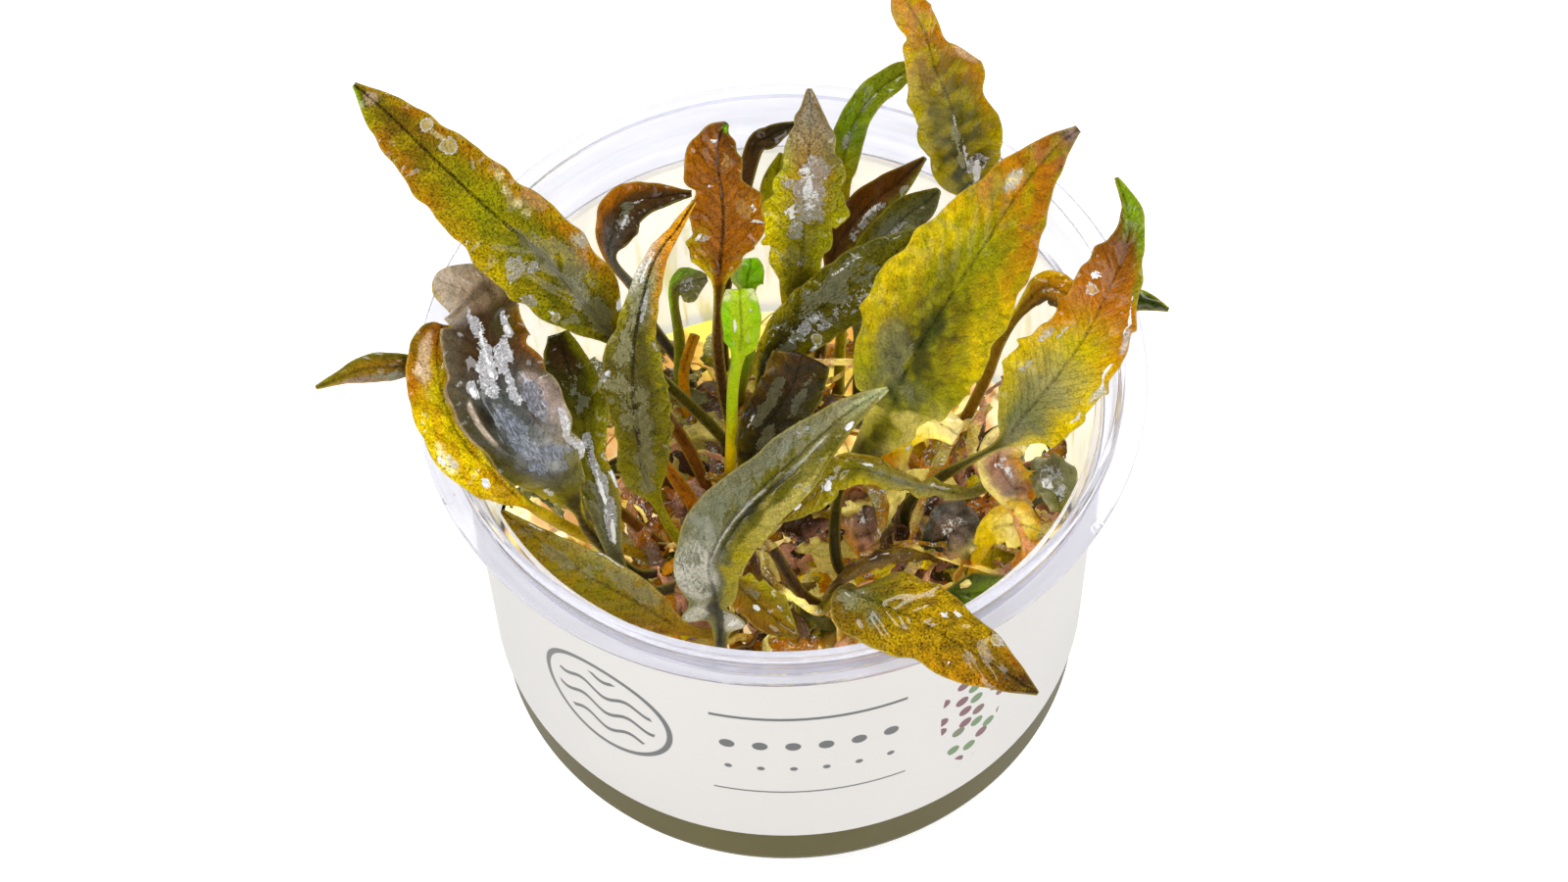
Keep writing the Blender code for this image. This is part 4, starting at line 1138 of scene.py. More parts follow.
grow_leaf(
    "left_dark_leaf", "leaf_left_dark", "leaf_dark", crown_foot("left", 218),
    [(-22, -11, 31), (-27.5, -12, 43)],
    [(-29, -14.5, 54, 1.0, 1.0), (-32, -17.5, 68, 4.5, 5.8), (-35.5, -14.7, 74, 6.0, 7.2),
     (-38, -8.5, 75.5, 7.5, 7.0), (-40, -1.5, 75.5, 6.2, 6.5), (-41, 5.5, 73, 5.4, 5.0),
     (-43, 10.5, 71, 4.6, 4.6), (-47, 14, 69, 2.4, 1.8), (-48, 15, 68.4, 0.5, 0.5)],
    rise=-0.1, ruffle=1.3, wave=7.0, seed=31, columns=45, scallop=0.05,
    notches=[(0.6, 1, 1.3, 0.05), (0.3, 1, 0.5, 0.03)],
    bumps=[(0.45, -0.4, -1.1, 0.07, 0.16), (0.44, -0.75, 0.9, 0.08, 0.2), (0.4, 0.65, 0.9, 0.06, 0.2),
           (0.3, 0.5, -0.8, 0.05, 0.2), (0.9, 0.5, 0.8, 0.05, 0.5), (0.6, 0.15, -0.5, 0.2, 0.15)],
    # The slate stretch of the middle and the slate-blue and silver patches are painted reflection; in the
    # crease, the night patch is painted shade and the pale patch at its edge a painted highlight.
    middle=[(-1, NIGHT), (0, NIGHT), (0.12, OLIVE), (0.25, SLATE), (0.5, SLATE), (0.6, UMBER), (0.76, UMBER),
            (0.84, BEIGE), (1, PALE_HOOD)],
    left=[(0, OLIVE), (0.15, GOLD_GREEN), (0.35, DARK_OLIVE), (0.6, TAUPE), (0.78, TAUPE), (0.86, PALE_HOOD),
          (0.94, PALE_HOOD), (1, GOLD)],
    right=[(0, GOLD_GREEN), (0.12, OLIVE), (0.25, KHAKI), (0.4, PALE_MAUVE), (0.5, TAUPE), (0.6, RED_BROWN),
           (0.76, OLIVE_BROWN), (0.84, BEIGE), (1, PALE_HOOD)],
    patches=[(0.45, -0.45, 0.06, 0.1, 0.9, NIGHT), (0.45, -0.64, 0.09, 0.07, 1.0, PALE_HOOD),
             (0.45, -0.55, 0.06, 0.05, 0.8, UMBER), (0.37, -0.1, 0.1, 0.35, 0.75, SLATE_BLUE),
             (0.46, 0.6, 0.08, 0.3, 0.75, PALE_MAUVE), (0.3, 0.3, 0.08, 0.4, 0.6, SILVER),
             (0.43, 0.4, 0.07, 0.1, 0.7, UMBER),
             (0.6, -0.96, 0.3, 0.03, 0.8, BEIGE),
             (0.16, -0.7, 0.07, 0.3, 0.9, GOLD_GREEN), (0.62, 0.95, 0.12, 0.12, 0.7, RUST),
             (0.7, 0.45, 0.14, 0.3, 0.7, DARK_OLIVE), (0.05, 0.3, 0.05, 0.8, 0.8, NIGHT),
             (0.84, 0.0, 0.02, 0.9, 0.5, UMBER)],
    film=[(0.78, -0.28, 0.06, 0.1, 0.8), (0.71, -0.18, 0.08, 0.12, 0.95), (0.63, -0.05, 0.09, 0.17, 1.0),
          (0.55, -0.12, 0.07, 0.24, 1.0), (0.68, 0.55, 0.06, 0.14, 1.0), (0.61, 0.42, 0.07, 0.16, 0.9),
          (0.57, 0.2, 0.06, 0.16, 0.85),
          (0.53, -0.5, 0.03, 0.12, 1.3), (0.32, 0.85, 0.08, 0.12, 1.1), (0.5, 0.2, 0.08, 0.14, 0.9),
          (0.22, 0.9, 0.06, 0.12, 1.0), (0.17, -0.55, 0.04, 0.15, 0.8)],
    glints=[(0.64, -0.07, 0.12, 0.05, 0.9), (0.68, 0.55, 0.03, 0.08, 0.9), (0.33, 0.88, 0.03, 0.05, 0.9),
            (0.53, -0.5, 0.02, 0.08, 1.0)],
    sheen=[(0.36, -0.1, 0.15, 0.45, 1.1), (0.6, -0.05, 0.16, 0.16, 0.75), (0.28, 0.4, 0.1, 0.4, 0.9),
           (0.44, 0.5, 0.12, 0.3, 1.0)],
    rough=0.35, grain=0.45, quilt=0.4, light=0.58, glow=0.1, sheen_tone=daylight(122, 126, 138), hairs=1.1,
    film_fill=0.45,
    midrib=0.25)

grow_leaf(
    "left_behind_leaf", "leaf_left_behind", "leaf_dark", crown_foot("left", 262),
    [(-19, -15.5, 33), (-22.5, -17.5, 40)],
    [(-24.5, -17, 46, 0.8, 1.6), (-25.8, -12, 52, 2.2, 2.9), (-27, -7.5, 56, 3.0, 2.4),
     (-28, -2, 59, 3.5, 3.7), (-29.5, 3, 62, 3.7, 3.3), (-31, 8, 64, 1.5, 1.5)],
    rise=0.2, ruffle=0.9, wave=5.0, seed=32, columns=29,
    middle=[(-1, NIGHT), (0, GREY_OLIVE), (0.35, OLIVE), (0.6, OLIVE), (0.8, DARK_OLIVE), (1, DARK_OLIVE)],
    right=[(0, GREY_OLIVE), (0.4, GOLD_GREEN), (0.6, YELLOW_GREEN), (1, YELLOW_GREEN)],
    patches=[(0.9, -0.1, 0.12, 0.7, 0.8, UMBER)],
    film=[(0.5, 0.1, 0.06, 0.3, 0.8), (0.4, 0.15, 0.08, 0.3, 0.85), (0.3, 0.25, 0.1, 0.35, 0.95),
          (0.15, 0.4, 0.12, 0.45, 1.0)],
    glints=[(0.28, 0.2, 0.12, 0.16, 0.9), (0.1, 0.45, 0.08, 0.2, 0.9), (0.33, 0.95, 0.05, 0.25, 1.0)],
    sheen=[(0.75, 0.0, 0.2, 0.7, 0.6)], rings=[(13.7, 2.2, 0.5)], light=0.6, grain=0.7)

grow_leaf(
    "left_yellow_leaf", "leaf_left_yellow", "leaf_yellow", crown_foot("left", 187),
    [(-28.5, -9, 38), (-33.5, -13, 50)],
    [(-35.5, -18, 61, 0.8, 0.8), (-39.5, -18, 69, 4.2, 1.0), (-43.5, -13.5, 70.5, 4.8, 3.0),
     (-46, -7, 71, 4.7, 4.0), (-47, 0, 71.5, 4.0, 3.6), (-46.5, 5.5, 70.5, 1.5, 1.2)],
    faces=((0.2, -0.4, 0.85), (0.2, -0.4, 0.85)), rise=0.1, ruffle=1.0, wave=6.0, seed=33,
    middle=[(-1, RED_BROWN), (0, GOLD), (0.4, GOLD), (0.7, GOLD_GREEN), (0.9, RUST), (1, RED_BROWN)],
    left=[(0, AMBER), (0.3, GOLD), (0.55, GOLD), (0.7, ORANGE_BROWN), (0.85, OLIVE_BROWN), (1, RED_BROWN)],
    right=[(0, OLIVE), (0.5, GREY_OLIVE), (1, OLIVE)],
    # The beige patch at the upper left is a painted sheen.
    patches=[(0.79, -0.45, 0.15, 0.28, 0.85, BEIGE), (0.4, -0.75, 0.06, 0.25, 0.8, CREAM),
             (0.2, -0.3, 0.1, 0.5, 0.5, AMBER)], light=0.92,
    film=[(0.38, -0.6, 0.05, 0.2, 0.5)], glints=[(0.25, -0.4, 0.04, 0.2, 0.8), (0.4, -0.85, 0.03, 0.1, 0.7)],
    blotch=(AMBER, 0.5, 3.0), grain=0.8, veins=0.08, glow=0.12)

grow_leaf(
    "far_left_leaf", "leaf_far_left", "leaf_brown", crown_foot("left", 155),
    [(-27, -4, 42), (-32.5, -4.5, 56), (-41.5, -2, 67)],
    [(-49, -0.5, 69, 1.2, 1.2), (-54, -1, 70, 2.0, 2.0), (-57.5, -1, 69.5, 1.8, 1.8),
     (-60.5, -1.5, 68.5, 1.0, 1.0), (-64, -2, 67, 0.3, 0.3)],
    rise=-0.3, ruffle=0.3, wave=6.0, seed=34, columns=21,
    middle=[(-1, RED_BROWN), (0, UMBER), (0.5, OLIVE_BROWN), (1, OLIVE)],
    left=[(0, TAUPE), (0.7, MAUVE), (1, RUST)],
    right=[(0, DARK_OLIVE), (1, OLIVE)], sheen=[(0.35, -0.6, 0.3, 0.5, 0.8)], grain=0.5)

grow_leaf(
    "centre_upright_leaf", "leaf_centre_upright", "leaf_olive", crown_foot("left", 320),
    [(-16, -5.5, 32)],
    [(-18.5, -4.5, 40, 0.9, 0.9), (-20, -3.5, 46, 3.2, 3.3), (-20.5, -2, 56, 3.0, 5.0),
     (-20.5, -0.5, 66, 4.5, 4.8), (-19.5, 2, 74, 2.7, 2.8), (-17, 7, 81, 1.5, 1.9),
     (-13.5, 9, 86, 0.9, 0.7), (-11, 10.5, 90, 0.3, 0.3)],
    rise=0.3, ruffle=0.9, wave=5.5, scallop=0.07, seed=35,
    middle=[(-1, OLIVE), (0, OLIVE), (0.3, DARK_OLIVE), (0.6, DARK_OLIVE), (0.75, GREY_OLIVE),
            (0.88, AMBER), (1, AMBER)],
    # The silver stop on the left near the tip is a painted highlight.
    left=[(0, OLIVE), (0.2, OLIVE), (0.5, DARK_OLIVE), (0.68, OLIVE), (0.78, SILVER), (0.88, AMBER),
          (1, AMBER)],
    right=[(0, OLIVE), (0.3, OLIVE), (0.6, OLIVE), (0.85, ORANGE_BROWN), (1, AMBER)],
    patches=[(0.36, -0.5, 0.12, 0.25, 0.8, DARK_OLIVE), (0.45, 0.35, 0.1, 0.2, 0.7, DARK_OLIVE)],
    film=[(0.49, -0.8, 0.03, 0.22, 0.95), (0.59, 0.88, 0.03, 0.25, 0.9), (0.69, 0.2, 0.05, 0.12, 0.8),
          (0.215, 0.9, 0.03, 0.2, 0.9)],
    glints=[(0.78, -0.4, 0.07, 0.2, 0.7), (0.49, -0.8, 0.015, 0.1, 0.9)],
    sheen=[(0.45, -0.5, 0.35, 0.6, 0.9), (0.25, 0.2, 0.25, 0.5, 0.8), (0.1, 0.0, 0.15, 0.8, 0.9)], midrib=1.1,
    light=1.5, sheen_tone=daylight(150, 146, 104), grain=0.9, hairs=0.5)


# The leaves of the root stock at the back: one with a painted silvery reflection, two green ones,
# the tall amber one that reaches highest, and two short ones behind the large yellow leaf.
LEAF_GREEN = daylight(104, 128, 10)
DARK_GREEN = daylight(48, 58, 10)

grow_leaf(
    "top_leaf", "leaf_top", "leaf_grey_green", crown_foot("back", 215),
    [(0.5, 20.5, 40), (2.5, 19, 52)],
    [(3, 19.5, 58, 2.6, 2.4), (3.5, 21.5, 65, 5.2, 3.4), (4, 23, 72, 5.8, 5.6),
     (4.5, 25, 78, 3.7, 5.0), (5, 27.5, 84, 2.6, 2.9), (5, 30, 89, 0.3, 0.3)],
    rise=0.2, ruffle=1.2, wave=6.0, scallop=0.12, seed=41, curl=(15, 15),
    middle=[(-1, DARK_OLIVE), (0, DARK_OLIVE), (0.3, OLIVE), (0.6, OLIVE_BROWN), (0.85, TAUPE), (1, TAUPE)],
    left=[(0, OLIVE), (0.25, GOLD_GREEN), (0.6, YELLOW_GREEN), (0.8, TAUPE), (1, UMBER)],
    right=[(0, OLIVE), (0.3, YELLOW_GREEN), (0.6, OLIVE), (0.8, TAUPE), (1, UMBER)],
    film=[(0.5, 0.05, 0.2, 0.7, 0.72), (0.32, -0.2, 0.08, 0.3, 0.7), (0.65, 0.3, 0.08, 0.4, 0.7),
          (0.12, 0.0, 0.04, 0.1, 0.6)],
    glints=[(0.5, 0.1, 0.12, 0.3, 0.7), (0.4, -0.3, 0.06, 0.2, 0.7), (0.6, -0.1, 0.05, 0.3, 0.7)],
    sheen=[(0.85, 0.0, 0.12, 0.6, 0.6)], light=1.5, grain=0.9, wet=0.5, film_fill=0.12,
    glow=0.06)

grow_leaf(
    "back_green_leaf", "leaf_back_green", "leaf_bright_green", crown_foot("back", 150),
    [(1, 29.5, 42)],
    [(1, 31, 50, 0.8, 0.8), (0, 33.5, 57, 2.0, 2.0), (0, 35, 62, 2.0, 2.0), (1, 37, 66, 0.4, 0.4)],
    rise=0.2, ruffle=0.3, seed=42, columns=21,
    middle=[(-1, OLIVE), (0, GOLD_GREEN), (1, YELLOW_GREEN)], veins=0.1)

grow_leaf(
    "arching_green_leaf", "leaf_arching_green", "leaf_bright_green", crown_foot("back", 70),
    [(9.5, 33, 40)],
    [(9.5, 38, 55, 1.2, 1.2), (10, 39, 62, 2.2, 2.2), (11.5, 40.5, 68, 2.3, 2.3),
     (14.5, 42.5, 72, 2.1, 2.1), (18, 44.5, 73.5, 2.0, 2.0), (20.5, 45.5, 74, 1.0, 1.0),
     (22.5, 46.5, 74, 0.3, 0.3)],
    faces=(TO_FRONT, UPWARD), rise=0.3, ruffle=0.3, seed=43, columns=21,
    middle=[(-1, OLIVE), (0, GOLD_GREEN), (0.4, LEAF_GREEN), (1, OLIVE)],
    left=[(0, YELLOW_GREEN), (0.5, LEAF_GREEN), (1, OLIVE)],
    film=[(0.35, -0.1, 0.12, 0.2, 0.6)], sheen=[(0.5, 0.1, 0.35, 0.35, 0.6)], veins=0.1)

grow_leaf(
    "tall_leaf", "leaf_tall", "leaf_amber", crown_foot("back", -20),
    [(19, 24, 32), (23.5, 26.5, 45), (27, 28, 56)],
    [(28.5, 30, 62, 0.8, 0.8), (27, 31, 68, 4.0, 4.5), (26, 32, 74, 5.0, 6.0),
     (24.5, 32.5, 82, 5.6, 5.4), (22.5, 33.5, 88, 4.6, 6.0), (21.5, 34, 93, 3.6, 2.4),
     (20.5, 35, 96, 3.0, 2.5), (18.5, 35, 101, 2.4, 2.1), (17, 37, 107, 0.3, 0.3)],
    rise=0.15, ruffle=1.0, wave=8.0, scallop=0.08, seed=44, curl=(8, 14),
    middle=[(-1, NIGHT), (0, DARK_GREEN), (0.2, DARK_OLIVE), (0.4, OLIVE), (0.6, OLIVE_BROWN), (0.85, AMBER),
            (1, RUST)],
    left=[(0, DARK_OLIVE), (0.2, GOLD_GREEN), (0.5, GOLD_GREEN), (0.8, AMBER), (1, RED_BROWN)],
    right=[(0, OLIVE_BROWN), (0.2, GOLD_GREEN), (0.5, AMBER), (0.8, ORANGE_BROWN), (1, RUST)],
    spread=(0.4, 1.0), blotch=(GOLD_GREEN, 0.55, 4.0), patches=[(0.6, 0.9, 0.06, 0.15, 0.7, BEIGE)],
    film=[(0.14, 0.3, 0.07, 0.4, 0.6)],
    glints=[(0.2, 0.1, 0.12, 0.07, 0.8), (0.12, 0.35, 0.06, 0.2, 0.9), (0.33, 0.0, 0.06, 0.06, 0.7)],
    sheen=[(0.22, -0.05, 0.2, 0.14, 1.1), (0.1, 0.3, 0.08, 0.4, 0.9)], sheen_tone=daylight(176, 172, 128),
    veins=0.08, quilt=0.4, light=1.0, grain=0.6, glow=0.08, wet=0.5, mottle=0.35)

grow_leaf(
    "brown_back_leaf", "leaf_brown_back", "leaf_brown", crown_foot("back", 110),
    [(6.5, 28.5, 38)],
    [(7.5, 32.5, 44, 0.8, 0.8), (9, 33.5, 49, 2.6, 2.6), (13, 35, 55, 2.8, 2.5),
     (17.5, 35.5, 60, 2.2, 2.0), (21.5, 37, 64, 0.3, 0.3)],
    rise=0.2, ruffle=0.6, seed=45, columns=25,
    middle=[(-1, NIGHT), (0, UMBER), (0.6, RED_BROWN), (1, UMBER)], right=[(0, OLIVE), (1, OLIVE)],
    left=[(0, RED_BROWN), (1, RED_BROWN)],
    film=[(0.5, 0.5, 0.25, 0.25, 0.55)], glints=[(0.5, 0.3, 0.2, 0.15, 0.7)],
    sheen=[(0.5, 0.4, 0.35, 0.4, 0.6)])

grow_leaf(
    "grey_back_leaf", "leaf_grey_back", "leaf_grey_green", crown_foot("back", 20),
    [(11.5, 24, 40)],
    [(10, 25, 50, 1.0, 1.0), (13, 25.5, 56, 2.5, 2.4), (17, 27.5, 61, 2.6, 2.6),
     (21, 28, 65, 2.2, 2.2), (23, 28, 68, 0.5, 0.5)],
    rise=0.2, ruffle=0.5, seed=46, columns=25,
    middle=[(-1, NIGHT), (0, MOSS), (0.5, GREY_OLIVE), (1, MOSS)], left=[(0, OLIVE), (1, OLIVE)],
    film=[(0.5, 0.2, 0.3, 0.2, 0.45)], sheen=[(0.5, 0.0, 0.4, 0.6, 0.7)], grain=0.7)


# The leaves of the root stock at the back left, mostly hidden: a bright green one behind the
# young leaf, a brown one, a dark one and a small one.
grow_leaf(
    "young_green_back_leaf", "leaf_young_green_back", "leaf_bright_green", crown_foot("back_left", 0),
    [(-4.5, 23, 38)],
    [(-4.5, 24, 50, 1.0, 1.0), (-4.5, 24.5, 53, 2.3, 2.3), (-4, 25, 55, 2.3, 2.0),
     (-4, 26, 56, 1.0, 1.0)],
    rise=0.3, ruffle=0.3, seed=51, columns=21,
    middle=[(-1, OLIVE), (0, BRIGHT_GREEN), (1, BRIGHT_GREEN)], left=[(0, LIME), (1, PALE_GREEN)],
    mottle=0.25, grain=0.2, veins=0.1)

grow_leaf(
    "back_brown_leaf", "leaf_back_brown", "leaf_brown", crown_foot("back_left", 130),
    [(-19, 29, 36), (-20.5, 27.5, 46)],
    [(-24, 26.5, 56, 0.8, 0.8), (-23.5, 28.5, 60, 2.6, 3.2), (-21.5, 30.5, 63, 3.2, 3.4),
     (-17.5, 30.5, 65, 2.2, 2.0), (-12, 31, 65, 0.4, 0.4)],
    rise=0.2, ruffle=0.8, wave=5.0, seed=52, columns=29,
    middle=[(-1, NIGHT), (0, SLATE), (0.4, UMBER), (1, UMBER)],
    left=[(0, RUST), (0.5, ORANGE_BROWN), (1, RED_BROWN)],
    right=[(0, UMBER), (1, NIGHT)],
    film=[(0.3, 0.3, 0.15, 0.3, 0.5)], glints=[(0.35, 0.3, 0.15, 0.1, 0.7), (0.6, 0.0, 0.1, 0.1, 0.6)],
    sheen=[(0.4, 0.1, 0.3, 0.5, 0.65)])

grow_leaf(
    "back_dark_leaf", "leaf_back_dark", "leaf_dark", crown_foot("back_left", 60),
    [(-8, 31.5, 40)],
    [(-3.5, 41, 60, 1.3, 1.3), (-0.5, 42.5, 63, 1.6, 1.6), (3, 43, 65, 0.5, 0.5)],
    rise=0.2, ruffle=0.3, seed=53, columns=21, middle=[(-1, NIGHT), (0, UMBER), (1, NIGHT)])

grow_leaf(
    "back_small_leaf", "leaf_back_small", "leaf_olive", crown_foot("back_left", 180),
    [(-15, 27, 34)],
    [(-15.5, 30, 42, 0.8, 0.8), (-13.5, 30.5, 44, 2.6, 2.8), (-10.5, 31.5, 44, 0.5, 0.5)],
    rise=0.2, ruffle=0.6, wave=4.0, seed=54, columns=25,
    middle=[(-1, LEAF_GREEN), (0, OLIVE), (1, GREY_OLIVE)], left=[(0, BRIGHT_GREEN), (1, MOSS)],
    film=[(0.5, 0.0, 0.3, 0.5, 0.4)], sheen=[(0.5, 0.2, 0.4, 0.5, 0.6)])


# The leaves of the right root stock: the largest one, broad and yellow-green with a dead
# tip, the one beside it, a brown rolled one behind, and a narrow twisted one in front.
grow_leaf(
    "large_yellow_leaf", "leaf_large_yellow", "leaf_yellow", crown_foot("right", 250),
    [(7.5, -9.5, 28), (7, -6, 36), (9, -5, 46)],
    [(14.5, -4.5, 59, 3.2, 4.8), (15.5, -4, 62, 5.4, 7.0), (17, -3, 68, 7.4, 8.8),
     (20, -1.5, 75, 9.6, 9.1), (24, 1, 82, 9.3, 8.3), (28, 4.5, 87, 7.4, 7.2),
     (32.5, 9, 92, 4.9, 4.7), (37, 12.5, 96, 2.3, 2.3), (40.5, 14.5, 98, 0.5, 0.5)],
    rise=0.1, ruffle=0.8, wave=7.5, scallop=0.05, seed=61, columns=49,
    notches=[(0.03, 1, 1.2, 0.02), (0.0, 0, 0.8, 0.02), (0.07, 0, 0.8, 0.015)],
    middle=[(-1, NIGHT), (-0.1, DARK_OLIVE), (0.0, OLIVE), (0.08, DARK_GREEN), (0.3, DARK_OLIVE),
            (0.45, OLIVE),
            (0.62, YELLOW_GREEN), (0.78, AMBER), (0.92, RUST), (1, MAUVE)],
    left=[(0, STRAW), (0.15, YELLOW_GREEN), (0.3, GOLD), (0.5, GOLD), (0.62, GOLD), (0.76, AMBER),
          (0.93, RUST), (1, MAUVE)],
    right=[(0, STRAW), (0.15, YELLOW_GREEN), (0.35, GOLD), (0.48, GOLD), (0.58, AMBER), (0.86, RUST),
           (1, MAUVE)],
    spread=(0.1, 1.0), blotch=(YELLOW_GREEN, 0.6, 2.8),
    patches=[(0.8, -0.3, 0.045, 0.3, 0.85, CREAM), (0.98, 0.0, 0.02, 1.5, 1.0, MAUVE),
             (0.22, -0.4, 0.13, 0.4, 0.65, GREY_OLIVE), (0.34, 0.05, 0.14, 0.16, 0.7, DARK_GREEN),
             (0.12, 0.2, 0.07, 0.4, 0.5, MOSS),
             (0.45, 0.3, 0.05, 0.15, 0.5, OLIVE), (0.55, -0.3, 0.05, 0.2, 0.45, OLIVE),
             (0.65, 0.3, 0.04, 0.2, 0.4, OLIVE), (0.02, 0.4, 0.03, 0.9, 0.7, STRAW)],
    film=[(0.8, -0.3, 0.05, 0.35, 0.62)], sheen=[(0.24, -0.1, 0.14, 0.12, 0.62), (0.1, 0.1, 0.06, 0.3, 0.6)],
    sheen_tone=daylight(112, 110, 66), wet=0.12,
    mottle=0.95, grain=0.5, veins=0.02, quilt=0.2, light=0.74, glow=0.08, film_fill=0.12)

grow_leaf(
    "right_leaf", "leaf_right", "leaf_yellow", crown_foot("right", 345),
    [(17.5, -3, 34), (22.5, -4.5, 44)],
    [(30, -7.5, 56, 0.8, 0.8), (33, -7, 62, 4.1, 5.8), (37, -5.5, 68, 7.2, 6.6),
     (41, -3.5, 75, 5.6, 6.2), (44, -0.5, 81, 4.9, 4.8), (46.5, 3, 86, 3.5, 2.6),
     (47, 6, 90, 1.0, 2.0), (45.5, 10, 93, 0.3, 0.3)],
    rise=0.1, ruffle=1.3, wave=5.0, scallop=0.07, seed=62, columns=45, curl=(10, 30),
    middle=[(-1, NIGHT), (0, DARK_OLIVE), (0.15, MOSS), (0.3, KHAKI), (0.45, GOLD_GREEN), (0.6, RUST),
            (0.8, RED_BROWN), (0.88, LEAF_GREEN), (1, LEAF_GREEN)],
    left=[(0, MOSS), (0.2, GOLD_GREEN), (0.36, GOLD), (0.5, AMBER), (0.65, RUST), (0.85, RED_BROWN),
          (1, OLIVE)],
    right=[(0, KHAKI), (0.15, GOLD), (0.35, GOLD), (0.5, AMBER), (0.7, RUST), (0.8, LEAF_GREEN),
           (1, LEAF_GREEN)],
    # The silver patches on the curled right margin are painted highlights.
    patches=[(0.545, 0.9, 0.05, 0.1, 0.8, SILVER), (0.373, 0.9, 0.05, 0.1, 0.8, SILVER),
             (0.7, 0.9, 0.06, 0.3, 0.6, LEAF_GREEN), (0.08, 0.2, 0.08, 0.7, 0.7, GREY_OLIVE)],
    film=[(0.43, -0.78, 0.05, 0.12, 0.75), (0.48, -0.5, 0.04, 0.06, 0.6), (0.3, -0.6, 0.05, 0.06, 0.5)],
    glints=[(0.6, 0.8, 0.08, 0.05, 0.9), (0.42, 0.82, 0.06, 0.05, 0.9), (0.27, 0.84, 0.04, 0.05, 0.8),
            (0.68, -0.5, 0.02, 0.2, 0.8)],
    rings=[(29.7, -2.1, 0.7)], veins=0.06, quilt=0.2, vein_space=1.5, grain=0.5, glow=0.12, light=0.95)

grow_leaf(
    "right_curled_leaf", "leaf_right_curled", "leaf_brown", crown_foot("right", 60),
    [(24, 7, 34), (29, 10, 46), (31, 11, 54)],
    [(33.5, 10.5, 62, 0.8, 0.8), (37, 10.5, 68, 2.2, 2.2), (40, 7.5, 70, 2.4, 2.2),
     (45, 6, 71, 2.2, 2.0), (50, 5.5, 71, 1.4, 1.4), (53.5, 4.5, 70, 0.3, 0.3)],
    rise=-0.3, ruffle=0.6, wave=4.0, seed=63, columns=25,
    middle=[(-1, RED_BROWN), (0, OLIVE_BROWN), (0.4, AMBER), (0.7, DARK_GREEN), (1, DARK_GREEN)],
    left=[(0, GOLD), (0.5, AMBER), (0.7, LEAF_GREEN), (1, OLIVE)], right=[(0, UMBER), (1, DARK_OLIVE)],
    glints=[(0.3, 0.2, 0.1, 0.2, 0.6)])

grow_leaf(
    "twisted_leaf", "leaf_twisted", "leaf_olive", crown_foot("right", 20),
    [(24, -2, 32), (28, -3.5, 39)],
    [(26, -7, 43, 0.8, 0.8), (22, -9, 47, 1.4, 1.4), (16.5, -9.5, 50, 1.7, 1.7), (11, -9, 53, 2.1, 2.1),
     (6.5, -10.5, 54, 2.6, 2.6), (4, -12.5, 52, 2.4, 2.4), (-1, -14.5, 49, 0.4, 0.4)],
    rise=0.0, ruffle=0.8, wave=4.5, seed=64, columns=29,
    twist=[(0, 0), (0.3, 50), (0.5, 10), (0.8, -30), (1, 0)],
    middle=[(-1, DARK_OLIVE), (0, OLIVE), (0.3, KHAKI), (0.6, OLIVE), (1, OLIVE_BROWN)],
    left=[(0, GREY_OLIVE), (0.5, GOLD_GREEN), (1, OLIVE)], right=[(0, OLIVE), (1, OLIVE_BROWN)],
    film=[(0.75, -0.2, 0.06, 0.3, 0.7), (0.2, 0.4, 0.08, 0.4, 0.6)],
    glints=[(0.75, -0.3, 0.04, 0.25, 1.0), (0.9, 0.1, 0.03, 0.3, 1.0), (0.55, 0.4, 0.05, 0.15, 0.8)],
    sheen=[(0.35, 0.2, 0.25, 0.5, 0.7)])


# The leaves of the front root stock: a folded silvery one that arches across the middle,
# a low one along the rim, the yellow one that hangs over the rim, and a small one.
SILVER_GREEN = daylight(126, 124, 86)
# A pale tone painted as light on the arching leaf's crease and foot.
PALE_HIGHLIGHT = daylight(206, 202, 184)
OLD_GOLD = daylight(178, 142, 0)

